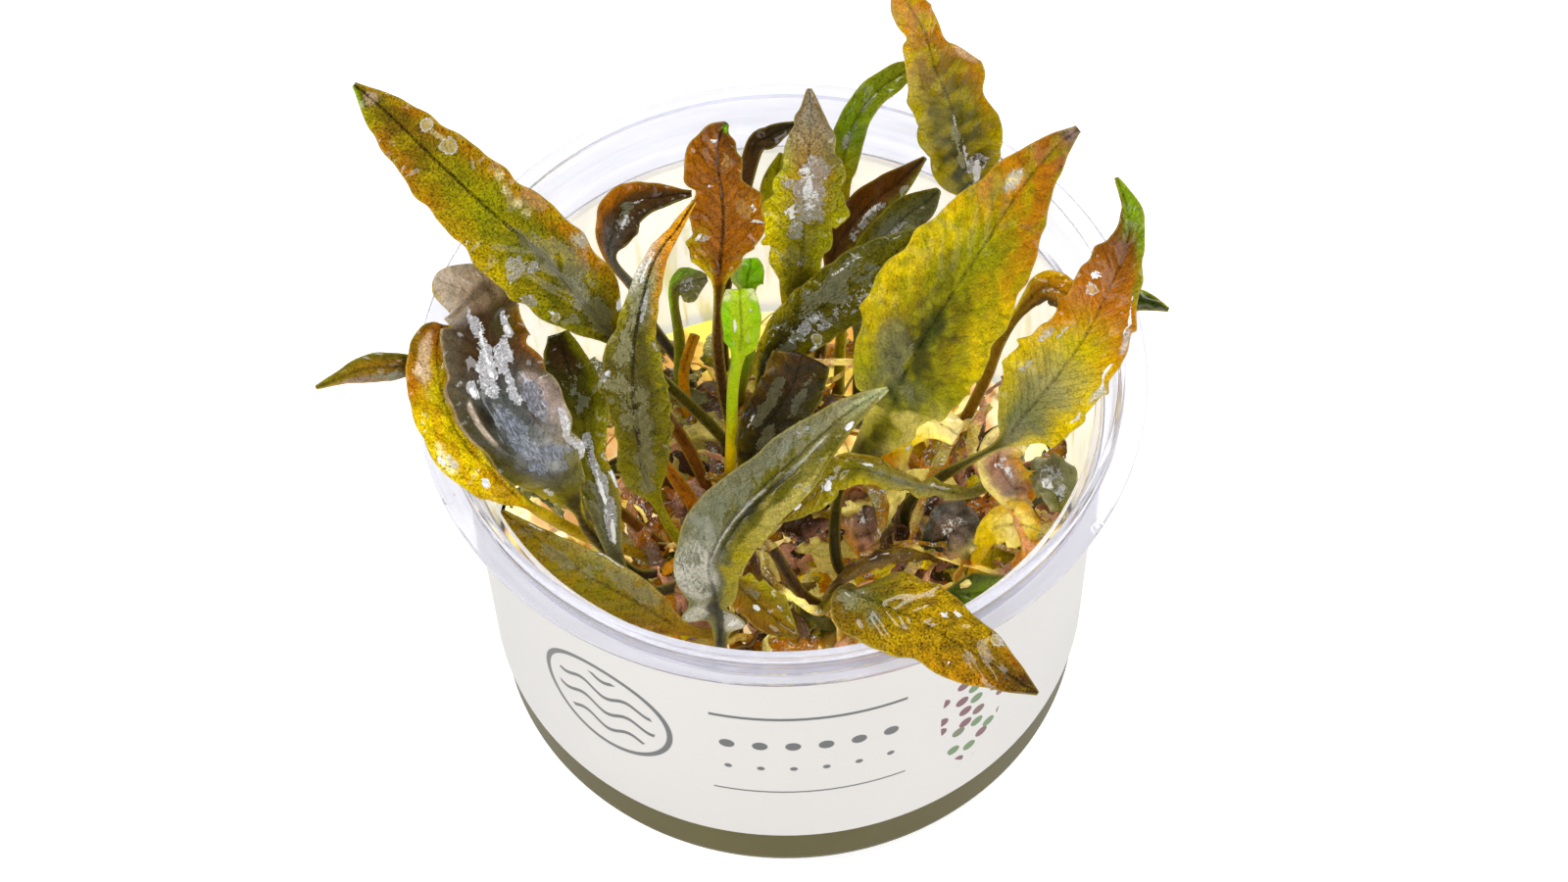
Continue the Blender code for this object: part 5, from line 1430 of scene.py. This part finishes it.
grow_leaf(
    "front_arching_leaf", "leaf_front_arching", "leaf_grey_green", crown_foot("front", 225),
    [(-9, -27, 34), (-9.5, -31.5, 44)],
    [(-9.6, -31.5, 49, 1.0, 1.6), (-9.7, -31.4, 52, 1.8, 3.6), (-9.9, -31.2, 54.4, 4.8, 1.4),
     (-10, -31, 57, 3.6, 2.6), (-10.5, -29, 62, 4.8, 4.6), (-7.5, -26, 67, 5.2, 5.0),
     (-3, -24, 72, 4.2, 5.0), (2, -21.5, 76, 3.7, 4.3), (6.5, -19, 79, 2.6, 2.6),
     (10.5, -17, 81, 1.5, 1.5), (14, -15.5, 82, 0.3, 0.3)],
    rise=0.25, ruffle=0.5, wave=9.0, fold=(0.1, 0.35), seed=71, columns=45,
    bumps=[(0.53, 0.32, -0.5, 0.3, 0.14)],
    # The silver-green of the left half is a painted sheen. The pale highlight patches are painted light along
    # the crease and low on the blade, and the night patches beside the crease and at the base are painted
    # shade in the folds.
    middle=[(-1, NIGHT), (0, NIGHT), (0.16, MOSS), (0.25, GREY_OLIVE), (0.6, OLIVE), (0.84, KHAKI),
            (1, PALE_GREEN)],
    left=[(0, MOSS), (0.2, SILVER_GREEN), (0.42, SILVER_GREEN), (0.68, GREY_OLIVE), (0.92, KHAKI),
          (1, PALE_GREEN)],
    right=[(0, MOSS), (0.25, GOLD_GREEN), (0.35, GOLD_GREEN), (0.55, STRAW), (0.76, OLIVE), (0.96, KHAKI),
           (1, PALE_GREEN)],
    spread=(0.3, 0.6),
    patches=[(0.42, 0.05, 0.2, 0.05, 1.0, PALE_HIGHLIGHT), (0.7, 0.2, 0.16, 0.05, 0.9, PALE_HIGHLIGHT),
             (0.48, 0.2, 0.22, 0.09, 0.9, NIGHT), (0.5, 0.5, 0.2, 0.14, 0.85, OLIVE),
             (0.63, 0.8, 0.17, 0.12, 0.7, STRAW), (0.24, -0.4, 0.14, 0.7, 0.9, PALE_HIGHLIGHT),
             (0.1, 0.0, 0.1, 0.3, 0.9, NIGHT), (0.11, -0.8, 0.04, 0.4, 0.9, PALE_HIGHLIGHT),
             (0.04, 0.7, 0.06, 0.5, 0.9, PALE_HIGHLIGHT)],
    film=[(0.06, 0.6, 0.05, 0.4, 0.8), (0.75, -0.6, 0.03, 0.2, 0.4)],
    glints=[(0.86, 0.7, 0.02, 0.25, 0.9), (0.05, 0.6, 0.04, 0.2, 0.7)],
    sheen=[(0.38, -0.45, 0.26, 0.6, 1.0), (0.67, -0.45, 0.22, 0.4, 0.75)], rough=0.35, veins=0.04, quilt=0.1,
    grain=0.6, mottle=0.4, light=0.66, sheen_tone=daylight(116, 119, 90), hairs=0.15)

grow_leaf(
    "front_low_leaf", "leaf_front_low", "leaf_olive", crown_foot("front", 170),
    [(-10, -20, 28)],
    [(-15, -22.5, 34, 1.0, 1.0), (-21, -22.3, 41, 4.4, 3.2), (-28, -20.4, 46, 5.2, 3.5),
     (-34.5, -16.4, 49.2, 3.8, 1.6), (-39.5, -13.2, 51.6, 0.4, 0.4)],
    rise=0.15, ruffle=0.8, wave=6.5, seed=72, columns=37,
    middle=[(-1, DARK_OLIVE), (0, OLIVE_BROWN), (0.5, OLIVE), (1, OLIVE_BROWN)],
    left=[(0, RED_BROWN), (0.5, OLIVE_BROWN), (1, OLIVE)], right=[(0, OLIVE_BROWN), (0.5, KHAKI), (1, OLIVE)],
    blotch=(OLIVE_BROWN, 0.5, 3.0), glints=[(0.5, 0.95, 0.1, 0.06, 0.7), (0.85, 0.8, 0.06, 0.1, 0.7)],
    sheen=[(0.7, -0.1, 0.3, 0.6, 0.85), (0.35, 0.4, 0.25, 0.5, 0.8)], sheen_tone=daylight(150, 140, 92),
    light=1.3,
    grain=0.7)

grow_leaf(
    "over_rim_leaf", "leaf_over_rim", "leaf_yellow", crown_foot("front", 0),
    [(7, -19, 36), (8.5, -28, 52)],
    [(7.5, -34, 62, 1.0, 1.0), (9.5, -38.5, 67.5, 5.0, 5.0), (14, -42.5, 70, 6.0, 6.0),
     (18.5, -46, 71, 5.6, 5.2), (22.5, -49, 71, 4.6, 4.6), (27, -51.5, 69.5, 3.2, 3.2),
     (32, -54, 67, 0.3, 0.3)],
    faces=((0.1, -0.2, 1.0), (0.1, -0.2, 1.0)), rise=-0.1, ruffle=0.35, wave=9.0, scallop=0.04, seed=73,
    middle=[(-1, OLIVE), (0, DARK_OLIVE), (0.3, OLIVE), (0.5, OLD_GOLD), (0.8, OLIVE_BROWN), (0.93, UMBER),
            (1, NIGHT)],
    left=[(0, OLIVE), (0.2, OLIVE), (0.4, OLD_GOLD), (0.75, OLD_GOLD), (0.88, RUST), (0.97, NIGHT),
          (1, NIGHT)],
    right=[(0, OLIVE), (0.2, OLIVE_BROWN), (0.45, OLD_GOLD), (0.8, AMBER), (0.9, RED_BROWN), (0.97, NIGHT),
           (1, NIGHT)],
    spread=(0.05, 0.8), blotch=(OLIVE_BROWN, 0.7, 2.6),
    # The night patch near the base is painted shade where the leaf's side folds under.
    patches=[(0.33, 0.45, 0.05, 0.25, 0.85, GREY_OLIVE), (0.14, 0.2, 0.08, 0.5, 0.9, NIGHT),
             (0.08, -0.4, 0.08, 0.5, 0.8, DARK_OLIVE), (0.776, -0.9, 0.04, 0.12, 0.7, CREAM),
             (0.2, 0.1, 0.12, 0.4, 0.6, KHAKI)],
    film=[(0.776, -0.85, 0.03, 0.14, 0.6), (0.56, -0.45, 0.02, 0.1, 0.7)],
    glints=[(0.553, -0.45, 0.018, 0.1, 1.0), (0.59, -0.68, 0.022, 0.1, 1.0), (0.15, 0.25, 0.07, 0.05, 0.9),
            (0.2, -0.1, 0.03, 0.08, 0.7), (0.66, 0.6, 0.02, 0.08, 0.6)],
    sheen=[(0.12, 0.3, 0.16, 0.6, 0.95)], sheen_tone=daylight(150, 146, 104),
    rings=[(28.2, -3.2, 0.7)], veins=0.05, grain=1.1, quilt=0.3, light=0.78, glow=0.06, wet=0.3)

grow_leaf(
    "front_small_leaf", "leaf_front_small", "leaf_olive", crown_foot("front", 120),
    [(-7, -15, 32)],
    [(-8, -18, 40, 0.8, 0.8), (-6, -23, 44, 2.8, 2.8), (-2.5, -28, 46, 3.0, 3.0),
     (1, -31, 45, 0.4, 0.4)],
    faces=(UPWARD, UPWARD), rise=0.2, ruffle=0.8, wave=4.5, seed=74, columns=25,
    middle=[(-1, DARK_OLIVE), (0, OLIVE_BROWN), (1, OLIVE_BROWN)], left=[(0, GOLD_GREEN), (1, OLIVE)],
    right=[(0, AMBER), (1, UMBER)],
    glints=[(0.6, 0.2, 0.06, 0.2, 1.0), (0.75, -0.5, 0.05, 0.1, 0.8)], sheen=[(0.4, -0.3, 0.2, 0.4, 0.6)])

grow_leaf(
    "wall_green_leaf", "leaf_wall_green", "leaf_olive", (18.5, -17), [(20, -18, 29)],
    [(22.5, -18.5, 34, 1.0, 1.0), (27, -20, 37, 3.0, 3.0), (32, -19.5, 39, 0.8, 0.8)],
    faces=(UPWARD, TO_FRONT), rise=0.2, ruffle=0.4, seed=75, columns=25,
    middle=[(-1, DARK_OLIVE), (0, DARK_GREEN), (1, LEAF_GREEN)], left=[(0, DARK_GREEN), (1, DARK_GREEN)],
    sheen=[(0.5, 0.3, 0.3, 0.3, 0.5)])


# The old leaves: soft, curled and half gone, sunk between the stalks on the right. They
# still hang on what is left of their stalks.
PALE_YELLOW = daylight(240, 222, 120)
PINK_BROWN = daylight(176, 126, 96)
OLD_SKIN = {"rough": 0.3, "grain": 0.35, "veins": 0.0, "wet": 0.6, "glow": 0.12}

grow_leaf(
    "old_ring_leaf", "old_leaf_ring", "old_leaf", crown_foot("right", 100), [(13, 3, 30)],
    [(15, 3.5, 36, 2.6, 2.6), (17, 4.5, 42, 3.2, 3.0), (21, 5, 44, 3.2, 3.0), (25, 3, 43, 1.8, 1.8)],
    rise=0.2, ruffle=1.0, wave=4.0, curl=(70, 70), seed=81, columns=31, crumple=0.5,
    middle=[(-1, OLIVE), (0, AMBER), (0.3, GOLD), (0.6, PALE_YELLOW), (1, CREAM)],
    left=[(0, PALE_YELLOW), (0.5, CREAM), (1, CREAM)], right=[(0, STRAW), (0.5, GOLD), (1, PALE_YELLOW)],
    glints=[(0.4, 0.1, 0.2, 0.2, 0.6), (0.3, 0.7, 0.1, 0.1, 0.8)], light=1.3, **OLD_SKIN)

grow_leaf(
    "old_brown_leaf", "old_leaf_brown", "old_leaf", crown_foot("right", 300), [(14, -9, 27)],
    [(12.5, -7, 30, 3.2, 3.2), (11.5, -3, 32, 4.2, 4.2), (12, 1, 31, 2.0, 2.0)],
    faces=(UPWARD, UPWARD), rise=0.2, ruffle=1.2, wave=3.0, seed=82, crumple=0.9,
    middle=[(-1, RED_BROWN), (0, PINK_BROWN), (0.5, MAUVE), (1, UMBER)], left=[(0, AMBER), (1, PINK_BROWN)],
    right=[(0, MAUVE), (1, UMBER)], blotch=(UMBER, 0.7, 2.0),
    glints=[(0.5, 0.0, 0.3, 0.5, 0.45)], **OLD_SKIN)

grow_leaf(
    "old_black_leaf", "old_leaf_black", "old_leaf", (21, -9.5), [(20.5, -9, 28)],
    [(21.5, -9.5, 33, 2.6, 2.6), (24.5, -9, 37, 4.4, 4.2), (27.5, -8, 37, 2.0, 2.0)],
    rise=0.2, ruffle=1.2, wave=3.0, seed=83, columns=35, crumple=1.0,
    middle=[(-1, NIGHT), (0, NIGHT), (0.5, MAUVE), (1, SLATE)],
    left=[(0, NIGHT), (0.5, SLATE), (1, MAUVE)], right=[(0, PINK_BROWN), (0.5, STRAW), (1, CREAM)],
    blotch=(NIGHT, 0.8, 2.0), glints=[(0.5, -0.2, 0.3, 0.5, 0.5)], rough=0.28, grain=0.4, veins=0.0,
    wet=0.6, glow=0.12)

grow_leaf(
    "old_curl_leaf", "old_leaf_curl", "old_leaf", (33, -2), [(34.5, -3, 34)],
    [(34.5, -6, 42, 2.0, 2.0), (32, -8, 46, 3.2, 3.2), (30, -5.5, 49, 3.2, 3.2),
     (32, -2.5, 50, 2.6, 2.6), (34.5, -3, 48.5, 1.4, 1.4)],
    rise=0.2, ruffle=0.9, wave=4.0, seed=84, columns=31, crumple=0.6, curl=(50, 50),
    middle=[(-1, AMBER), (0, RUST), (0.3, MAUVE), (0.6, PINK_BROWN), (1, CREAM)],
    left=[(0, AMBER), (0.4, PALE_YELLOW), (1, CREAM)], right=[(0, GOLD), (0.5, AMBER), (1, PALE_YELLOW)],
    glints=[(0.5, 0.2, 0.2, 0.3, 0.6)], **OLD_SKIN)

grow_leaf(
    "old_scrap_leaf", "old_leaf_scrap", "old_leaf", (26, -12.5), [(27, -12, 33)],
    [(29, -11.5, 40, 2.0, 2.0), (32.5, -12.5, 43, 3.4, 3.4), (35.5, -13, 42, 1.2, 1.2)],
    rise=0.1, ruffle=1.0, wave=3.5, seed=85, columns=29, crumple=0.6,
    middle=[(-1, AMBER), (0, GOLD), (0.5, PALE_YELLOW), (1, GOLD)], left=[(0, GOLD), (1, AMBER)],
    glints=[(0.5, 0.3, 0.2, 0.3, 0.5)], **OLD_SKIN)

grow_leaf(
    "old_grey_leaf", "old_leaf_grey", "old_leaf", (36, 5), [(37, 3, 34)],
    [(36.5, -2, 42, 1.4, 1.4), (38, -7.5, 46, 3.4, 3.2), (38.5, -12.5, 46, 1.4, 1.4)],
    rise=0.2, ruffle=1.1, wave=3.5, seed=86, columns=31, crumple=0.8,
    middle=[(-1, OLIVE), (0, GREY_OLIVE), (0.5, GREY_OLIVE), (1, OLIVE)], left=[(0, SILVER_GREEN), (1, MOSS)],
    right=[(0, DARK_OLIVE), (1, SILVER_GREEN)], film=[(0.5, 0.0, 0.4, 0.7, 0.5)],
    glints=[(0.5, 0.4, 0.3, 0.3, 0.6)], sheen=[(0.5, 0.0, 0.4, 0.7, 0.7)], **OLD_SKIN)

grow_leaf(
    "old_orange_leaf", "old_leaf_orange", "old_leaf", (31, -18.5), [(32, -18, 32)],
    [(33, -16.5, 38, 1.4, 1.4), (35, -16.5, 41, 2.4, 2.4), (37, -15, 39.5, 1.2, 1.2)],
    rise=0.2, ruffle=0.8, wave=3.0, seed=87, columns=25, crumple=0.6, curl=(80, 80),
    middle=[(-1, AMBER), (0, RUST), (0.5, ORANGE_BROWN), (1, STRAW)], left=[(0, RUST), (1, AMBER)],
    glints=[(0.5, 0.2, 0.2, 0.2, 0.6)], **OLD_SKIN)


# The old stalks: what is left of leaves that were lost, still rooted in the gel, soft and
# red-brown to pink.
OLD_STALKS = {
    "red": ((-10.5, 5), [(-14, 7, 36, 0.95, 0.95), (-17.5, 8.5, 44, 0.8, 0.8)], RED_BROWN),
    "brown": ((-12, 1.5), [(-14.5, 3, 30, 1.1, 1.1), (-17.5, 4.5, 36, 0.8, 0.8)], RUST),
    "orange": ((-14, 20), [(-14.5, 22, 33, 0.8, 0.8), (-12.5, 23.5, 41, 0.8, 0.8)], AMBER),
    "pink": ((-10, -11.5), [(-14, -13, 29, 0.9, 0.9), (-16, -15.5, 34, 0.7, 0.7)], PINK_BROWN),
    "front": ((6, -14), [(2, -15, 30, 0.9, 0.9), (-2, -11, 36, 0.8, 0.8)], UMBER),
}
for stalk_index, (stalk_name, (stalk_foot, stalk_rows, stalk_tone)) in enumerate(OLD_STALKS.items()):
    grow_leaf(
        stalk_name + "_old_stalk", "old_stalk_" + stalk_name, "old_stalk", stalk_foot, [], stalk_rows,
        rise=0.1, ruffle=0.2, wave=4.0, seed=91 + stalk_index, columns=17,
        middle=[(-1, stalk_tone), (1, stalk_tone)])


# The scraps: bits of old leaf that came loose and lie in a heap on the jelly between the
# stalks, curled up and soft, brown and pink at the right, yellow in front.
SCRAP_STEPS = 20
SCRAP_COLUMNS = 11
SCRAP_HALF = 0.11
SCRAP_FROM_RIM = 3.0
SCRAP_FROM_FOOT = 20.0
WALL_CLEAR = 41.5
FLESH = daylight(186, 134, 98)
DEEP_BROWN = daylight(74, 44, 26)
HEAPS = {
    "strip": (640, (AMBER, FLESH, RUST, UMBER, STRAW, PALE_YELLOW, OLIVE_BROWN), (14, 30), (0.7, 2.0), [
        (20, -4, 12, 24, 36, 34), (32, -4, 6, 26, 40, 14), (8, -8, 9, 22, 34, 18), (-6, 10, 10, 22, 34, 14),
        (-12, -8, 9, 22, 32, 12), (-10, 20, 10, 22, 36, 12), (2, -22, 7, 21, 28, 10)]),
    "brown": (610, (PINK_BROWN, RUST, MAUVE, DEEP_BROWN, FLESH, UMBER, DEEP_BROWN), (7, 18), (1.6, 4.4), [
        (17, -3, 8, 21, 31, 34), (24, -4, 7, 21, 31, 22), (-9, 6, 6, 21, 27, 18), (-14, -6, 7, 21, 27, 14),
        (-6, -14, 6, 21, 24, 8), (-18, 20, 7, 21, 25, 8), (4, 4, 7, 21, 28, 10)]),
    "yellow": (620, (AMBER, GOLD, PALE_YELLOW, STRAW, ORANGE_BROWN, GOLD_GREEN), (6, 15), (1.4, 3.6), [
        (0, -33, 7, 21, 24, 12), (-28, -18, 7, 21, 24, 10), (10, 34, 7, 21, 25, 8), (28, 22, 8, 21, 26, 8),
        (20, 6, 6, 22, 33, 16), (29, -4, 6, 22, 33, 18), (4, -12, 8, 21, 26, 22), (-2, -20, 8, 21, 24, 12),
        (32, -12, 6, 21, 30, 12), (-29, -2, 6, 21, 26, 8), (-14, 12, 6, 21, 27, 10), (12, -14, 6, 21, 27, 8),
        (14, -24, 7, 21, 25, 10)]),
    "green": (630, (OLIVE, MOSS, DARK_OLIVE, GREY_OLIVE, GOLD_GREEN), (5, 13), (1.2, 3.2), [
        (-33, 10, 7, 21, 26, 8), (22, -30, 7, 21, 25, 10), (34, 3, 5, 24, 40, 12), (24, -12, 6, 21, 32, 12),
        (5, -16, 8, 21, 25, 12), (-24, -6, 7, 21, 27, 10), (-22, 26, 8, 21, 30, 10),
        (-10, 28, 8, 21, 28, 10)]),
}


def scrap_skin(start, heading, pitch, length, width, bend, arch, roll, cup_curl, seed):
    """The top and low grids of one soft curled scrap, with its distances across and along."""
    t = np.linspace(0, 1, SCRAP_STEPS)
    turn = heading + bend * (t - 0.5)
    slope = pitch + arch * (t - 0.5)
    ahead = np.stack([np.cos(turn) * np.cos(slope), np.sin(turn) * np.cos(slope), np.sin(slope)], 1)
    centre = np.array(start) + np.cumsum(ahead, axis=0) * length / SCRAP_STEPS
    level_side = np.stack([-np.sin(turn), np.cos(turn), 0 * t], 1)
    up = np.cross(ahead, level_side)
    tilt = (roll * t + heading)[:, None]
    side, up = level_side * np.cos(tilt) + up * np.sin(tilt), up * np.cos(tilt) - level_side * np.sin(tilt)
    c = np.linspace(-1, 1, SCRAP_COLUMNS)[None, :] * np.ones((SCRAP_STEPS, 1))
    reach = width * np.sin(math.pi * (0.06 + 0.88 * t)) ** 0.6 * (1 + 0.25 * waves(t * length, 3.0, seed))
    x = reach[:, None] * np.sin(cup_curl * c) / cup_curl
    height = reach[:, None] * (1 - np.cos(cup_curl * c)) / cup_curl
    s = (t * length)[:, None] * np.ones_like(c)
    height = height + 0.35 * ripple(x, s, 2.6, seed) + 0.15 * ripple(x, s, 1.2, seed + 1)
    middle_skin = centre[:, None] + side[:, None] * x[..., None] + up[:, None] * height[..., None]
    least = GEL_TOP + 0.2 + 0.1 * (1 + ripple(x, s, 2.0, seed + 2))
    middle_skin[..., 2] = np.maximum(middle_skin[..., 2], least)
    away = np.linalg.norm(middle_skin[..., :2], axis=2)
    middle_skin[..., :2] *= np.minimum(1.0, WALL_CLEAR / np.maximum(away, 1e-6))[..., None]
    lift = unit_normals(middle_skin) * SCRAP_HALF
    return middle_skin + lift, middle_skin - lift, c * reach[:, None], s, c


for heap_name, (heap_seed, heap_tones, heap_lengths, heap_widths, heap_places) in HEAPS.items():
    draws = np.random.default_rng(heap_seed)
    heap_points, heap_faces, heap_notes = [], [], {"blade": [], "place": [], "marks": [], "hue": []}
    for heap_x, heap_y, heap_radius, heap_low, heap_high, heap_count in heap_places:
        for _ in range(heap_count):
            bearing, share, lift = draws.uniform(0, 2 * math.pi), math.sqrt(draws.uniform()), draws.uniform()
            start = (heap_x + heap_radius * share * math.cos(bearing),
                     heap_y + heap_radius * share * math.sin(bearing),
                     heap_low + (heap_high - heap_low) * lift * (1 - 0.6 * share))
            seed = int(draws.integers(1, 99999))
            scrap_top, scrap_low, scrap_x, scrap_s, scrap_c = scrap_skin(
                start, draws.uniform(0, 2 * math.pi), draws.uniform(-0.4, 0.5), draws.uniform(*heap_lengths),
                draws.uniform(*heap_widths), draws.uniform(-3, 3), draws.uniform(-2.5, 1.5),
                draws.uniform(-2, 2), draws.uniform(0.4, 2.0), seed)
            first = sum(len(block) for block in heap_points)
            block, block_faces = closed_skin(scrap_top, scrap_low)
            heap_points.append(block)
            heap_faces += [[first + corner for corner in face] for face in block_faces]
            tone_a, tone_b = (np.array(heap_tones[int(k)][:3]) for k in draws.integers(0, len(heap_tones), 2))
            shade = smooth(ripple(scrap_x, scrap_s, 5.0, seed + 3), -0.8, 0.8)[..., None]
            hue = (tone_a + (tone_b - tone_a) * shade) * draws.uniform(0.55, 1.6)
            ones = np.ones_like(scrap_c)
            # The scrap's glint mask, for painted glints.
            wet = ones * draws.uniform(0.2, 0.46)
            for key, values in (("blade", (scrap_x, scrap_s + SCRAP_FROM_FOOT, SCRAP_FROM_RIM * ones)),
                                ("place", (scrap_c, 0.5 * ones, ones)), ("marks", (0 * ones, wet, 0 * ones))):
                heap_notes[key].append(two_sided(np.stack(values, 2)))
            heap_notes["hue"].append(two_sided(hue))
    heap_finish = leaf_skin(heap_name + "_scraps", rough=0.3, midrib=0.0, veins=0.0, wet=0.7, glow=0.1)
    heap = mesh_piece(heap_name + "_scraps", np.concatenate(heap_points), heap_faces, heap_finish)
    for key, values in heap_notes.items():
        write_notes(heap, key, np.concatenate(values))
    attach(heap, "root")


# The roots: pale threads that run out from the root stocks over the jelly and into it, thin
# and crooked.
ROOT_SIDES = 6
ROOT_STEPS = 44
ROOTS_EACH = 9
ROOT_TONES = (STRAW, CREAM, AMBER, RUST, STRAW)


def root_fibre():
    """Pale straw to brown root tissue, darker in places."""
    finish = Finish("root_fibre", roughness=0.4, coat=0.4)
    patch = finish.noise(finish.place(), 160.0, 3.0)
    finish.put("Base Color", finish.scaled(finish.attribute("hue"), finish.scale_add(patch, 1.2, 0.6)))
    finish.put("Normal", finish.relief(patch, 0.0002))
    return finish.made


root_finish = root_fibre()
root_turns = np.linspace(0, 2 * math.pi, ROOT_SIDES, endpoint=False)
for stock_index, (stock_name, (stock_x, stock_y)) in enumerate(CROWNS.items()):
    draws = np.random.default_rng(710 + stock_index)
    root_points, root_faces, root_hues = [], [], []
    for root_index in range(ROOTS_EACH):
        bearing = 2 * math.pi * (root_index + draws.uniform(0, 0.8)) / ROOTS_EACH
        t = np.linspace(0, 1, ROOT_STEPS)
        bend = np.cumsum(draws.normal(0, 0.14, ROOT_STEPS))
        heading = bearing + 0.5 * bend
        step = draws.uniform(12, 26) / ROOT_STEPS
        x = stock_x + CROWN_RADIUS * 0.8 * math.cos(bearing) + np.cumsum(np.cos(heading)) * step
        y = stock_y + CROWN_RADIUS * 0.8 * math.sin(bearing) + np.cumsum(np.sin(heading)) * step
        hold = np.minimum(1.0, (WALL_CLEAR - 0.5) / np.maximum(np.hypot(x, y), 1e-6))
        z = GEL_TOP + 0.5 + draws.uniform(1.5, 8.0) * np.sin(math.pi * t * draws.uniform(0.7, 1.3)) ** 2
        path = np.stack([x * hold, y * hold, z + 0.25 * np.sin(9 * t + root_index)], 1)
        along = np.gradient(path, axis=0)
        along /= np.maximum(np.linalg.norm(along, axis=1), 1e-9)[:, None]
        across = np.cross(along, (0.3, 0.2, 1.0))
        across /= np.maximum(np.linalg.norm(across, axis=1), 1e-9)[:, None]
        lifted = np.cross(across, along)
        radius = draws.uniform(0.2, 0.42) * (1 - 0.55 * t)
        ring = across[:, None] * np.cos(root_turns)[:, None] + lifted[:, None] * np.sin(root_turns)[:, None]
        first = sum(len(block) for block in root_points)
        root_points.append((path[:, None] + ring * radius[:, None, None]).reshape(-1, 3))
        root_faces += [[first + corner for corner in face] for face in ring_faces(ROOT_STEPS, ROOT_SIDES)]
        tone = np.array(ROOT_TONES[int(draws.integers(0, len(ROOT_TONES)))][:3]) * draws.uniform(0.6, 1.1)
        root_hues.append(np.tile(tone, (ROOT_STEPS * ROOT_SIDES, 1)))
    roots = mesh_piece("roots_" + stock_name, np.concatenate(root_points), root_faces, root_finish)
    write_notes(roots, "hue", np.concatenate(root_hues))
    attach(roots, "root")
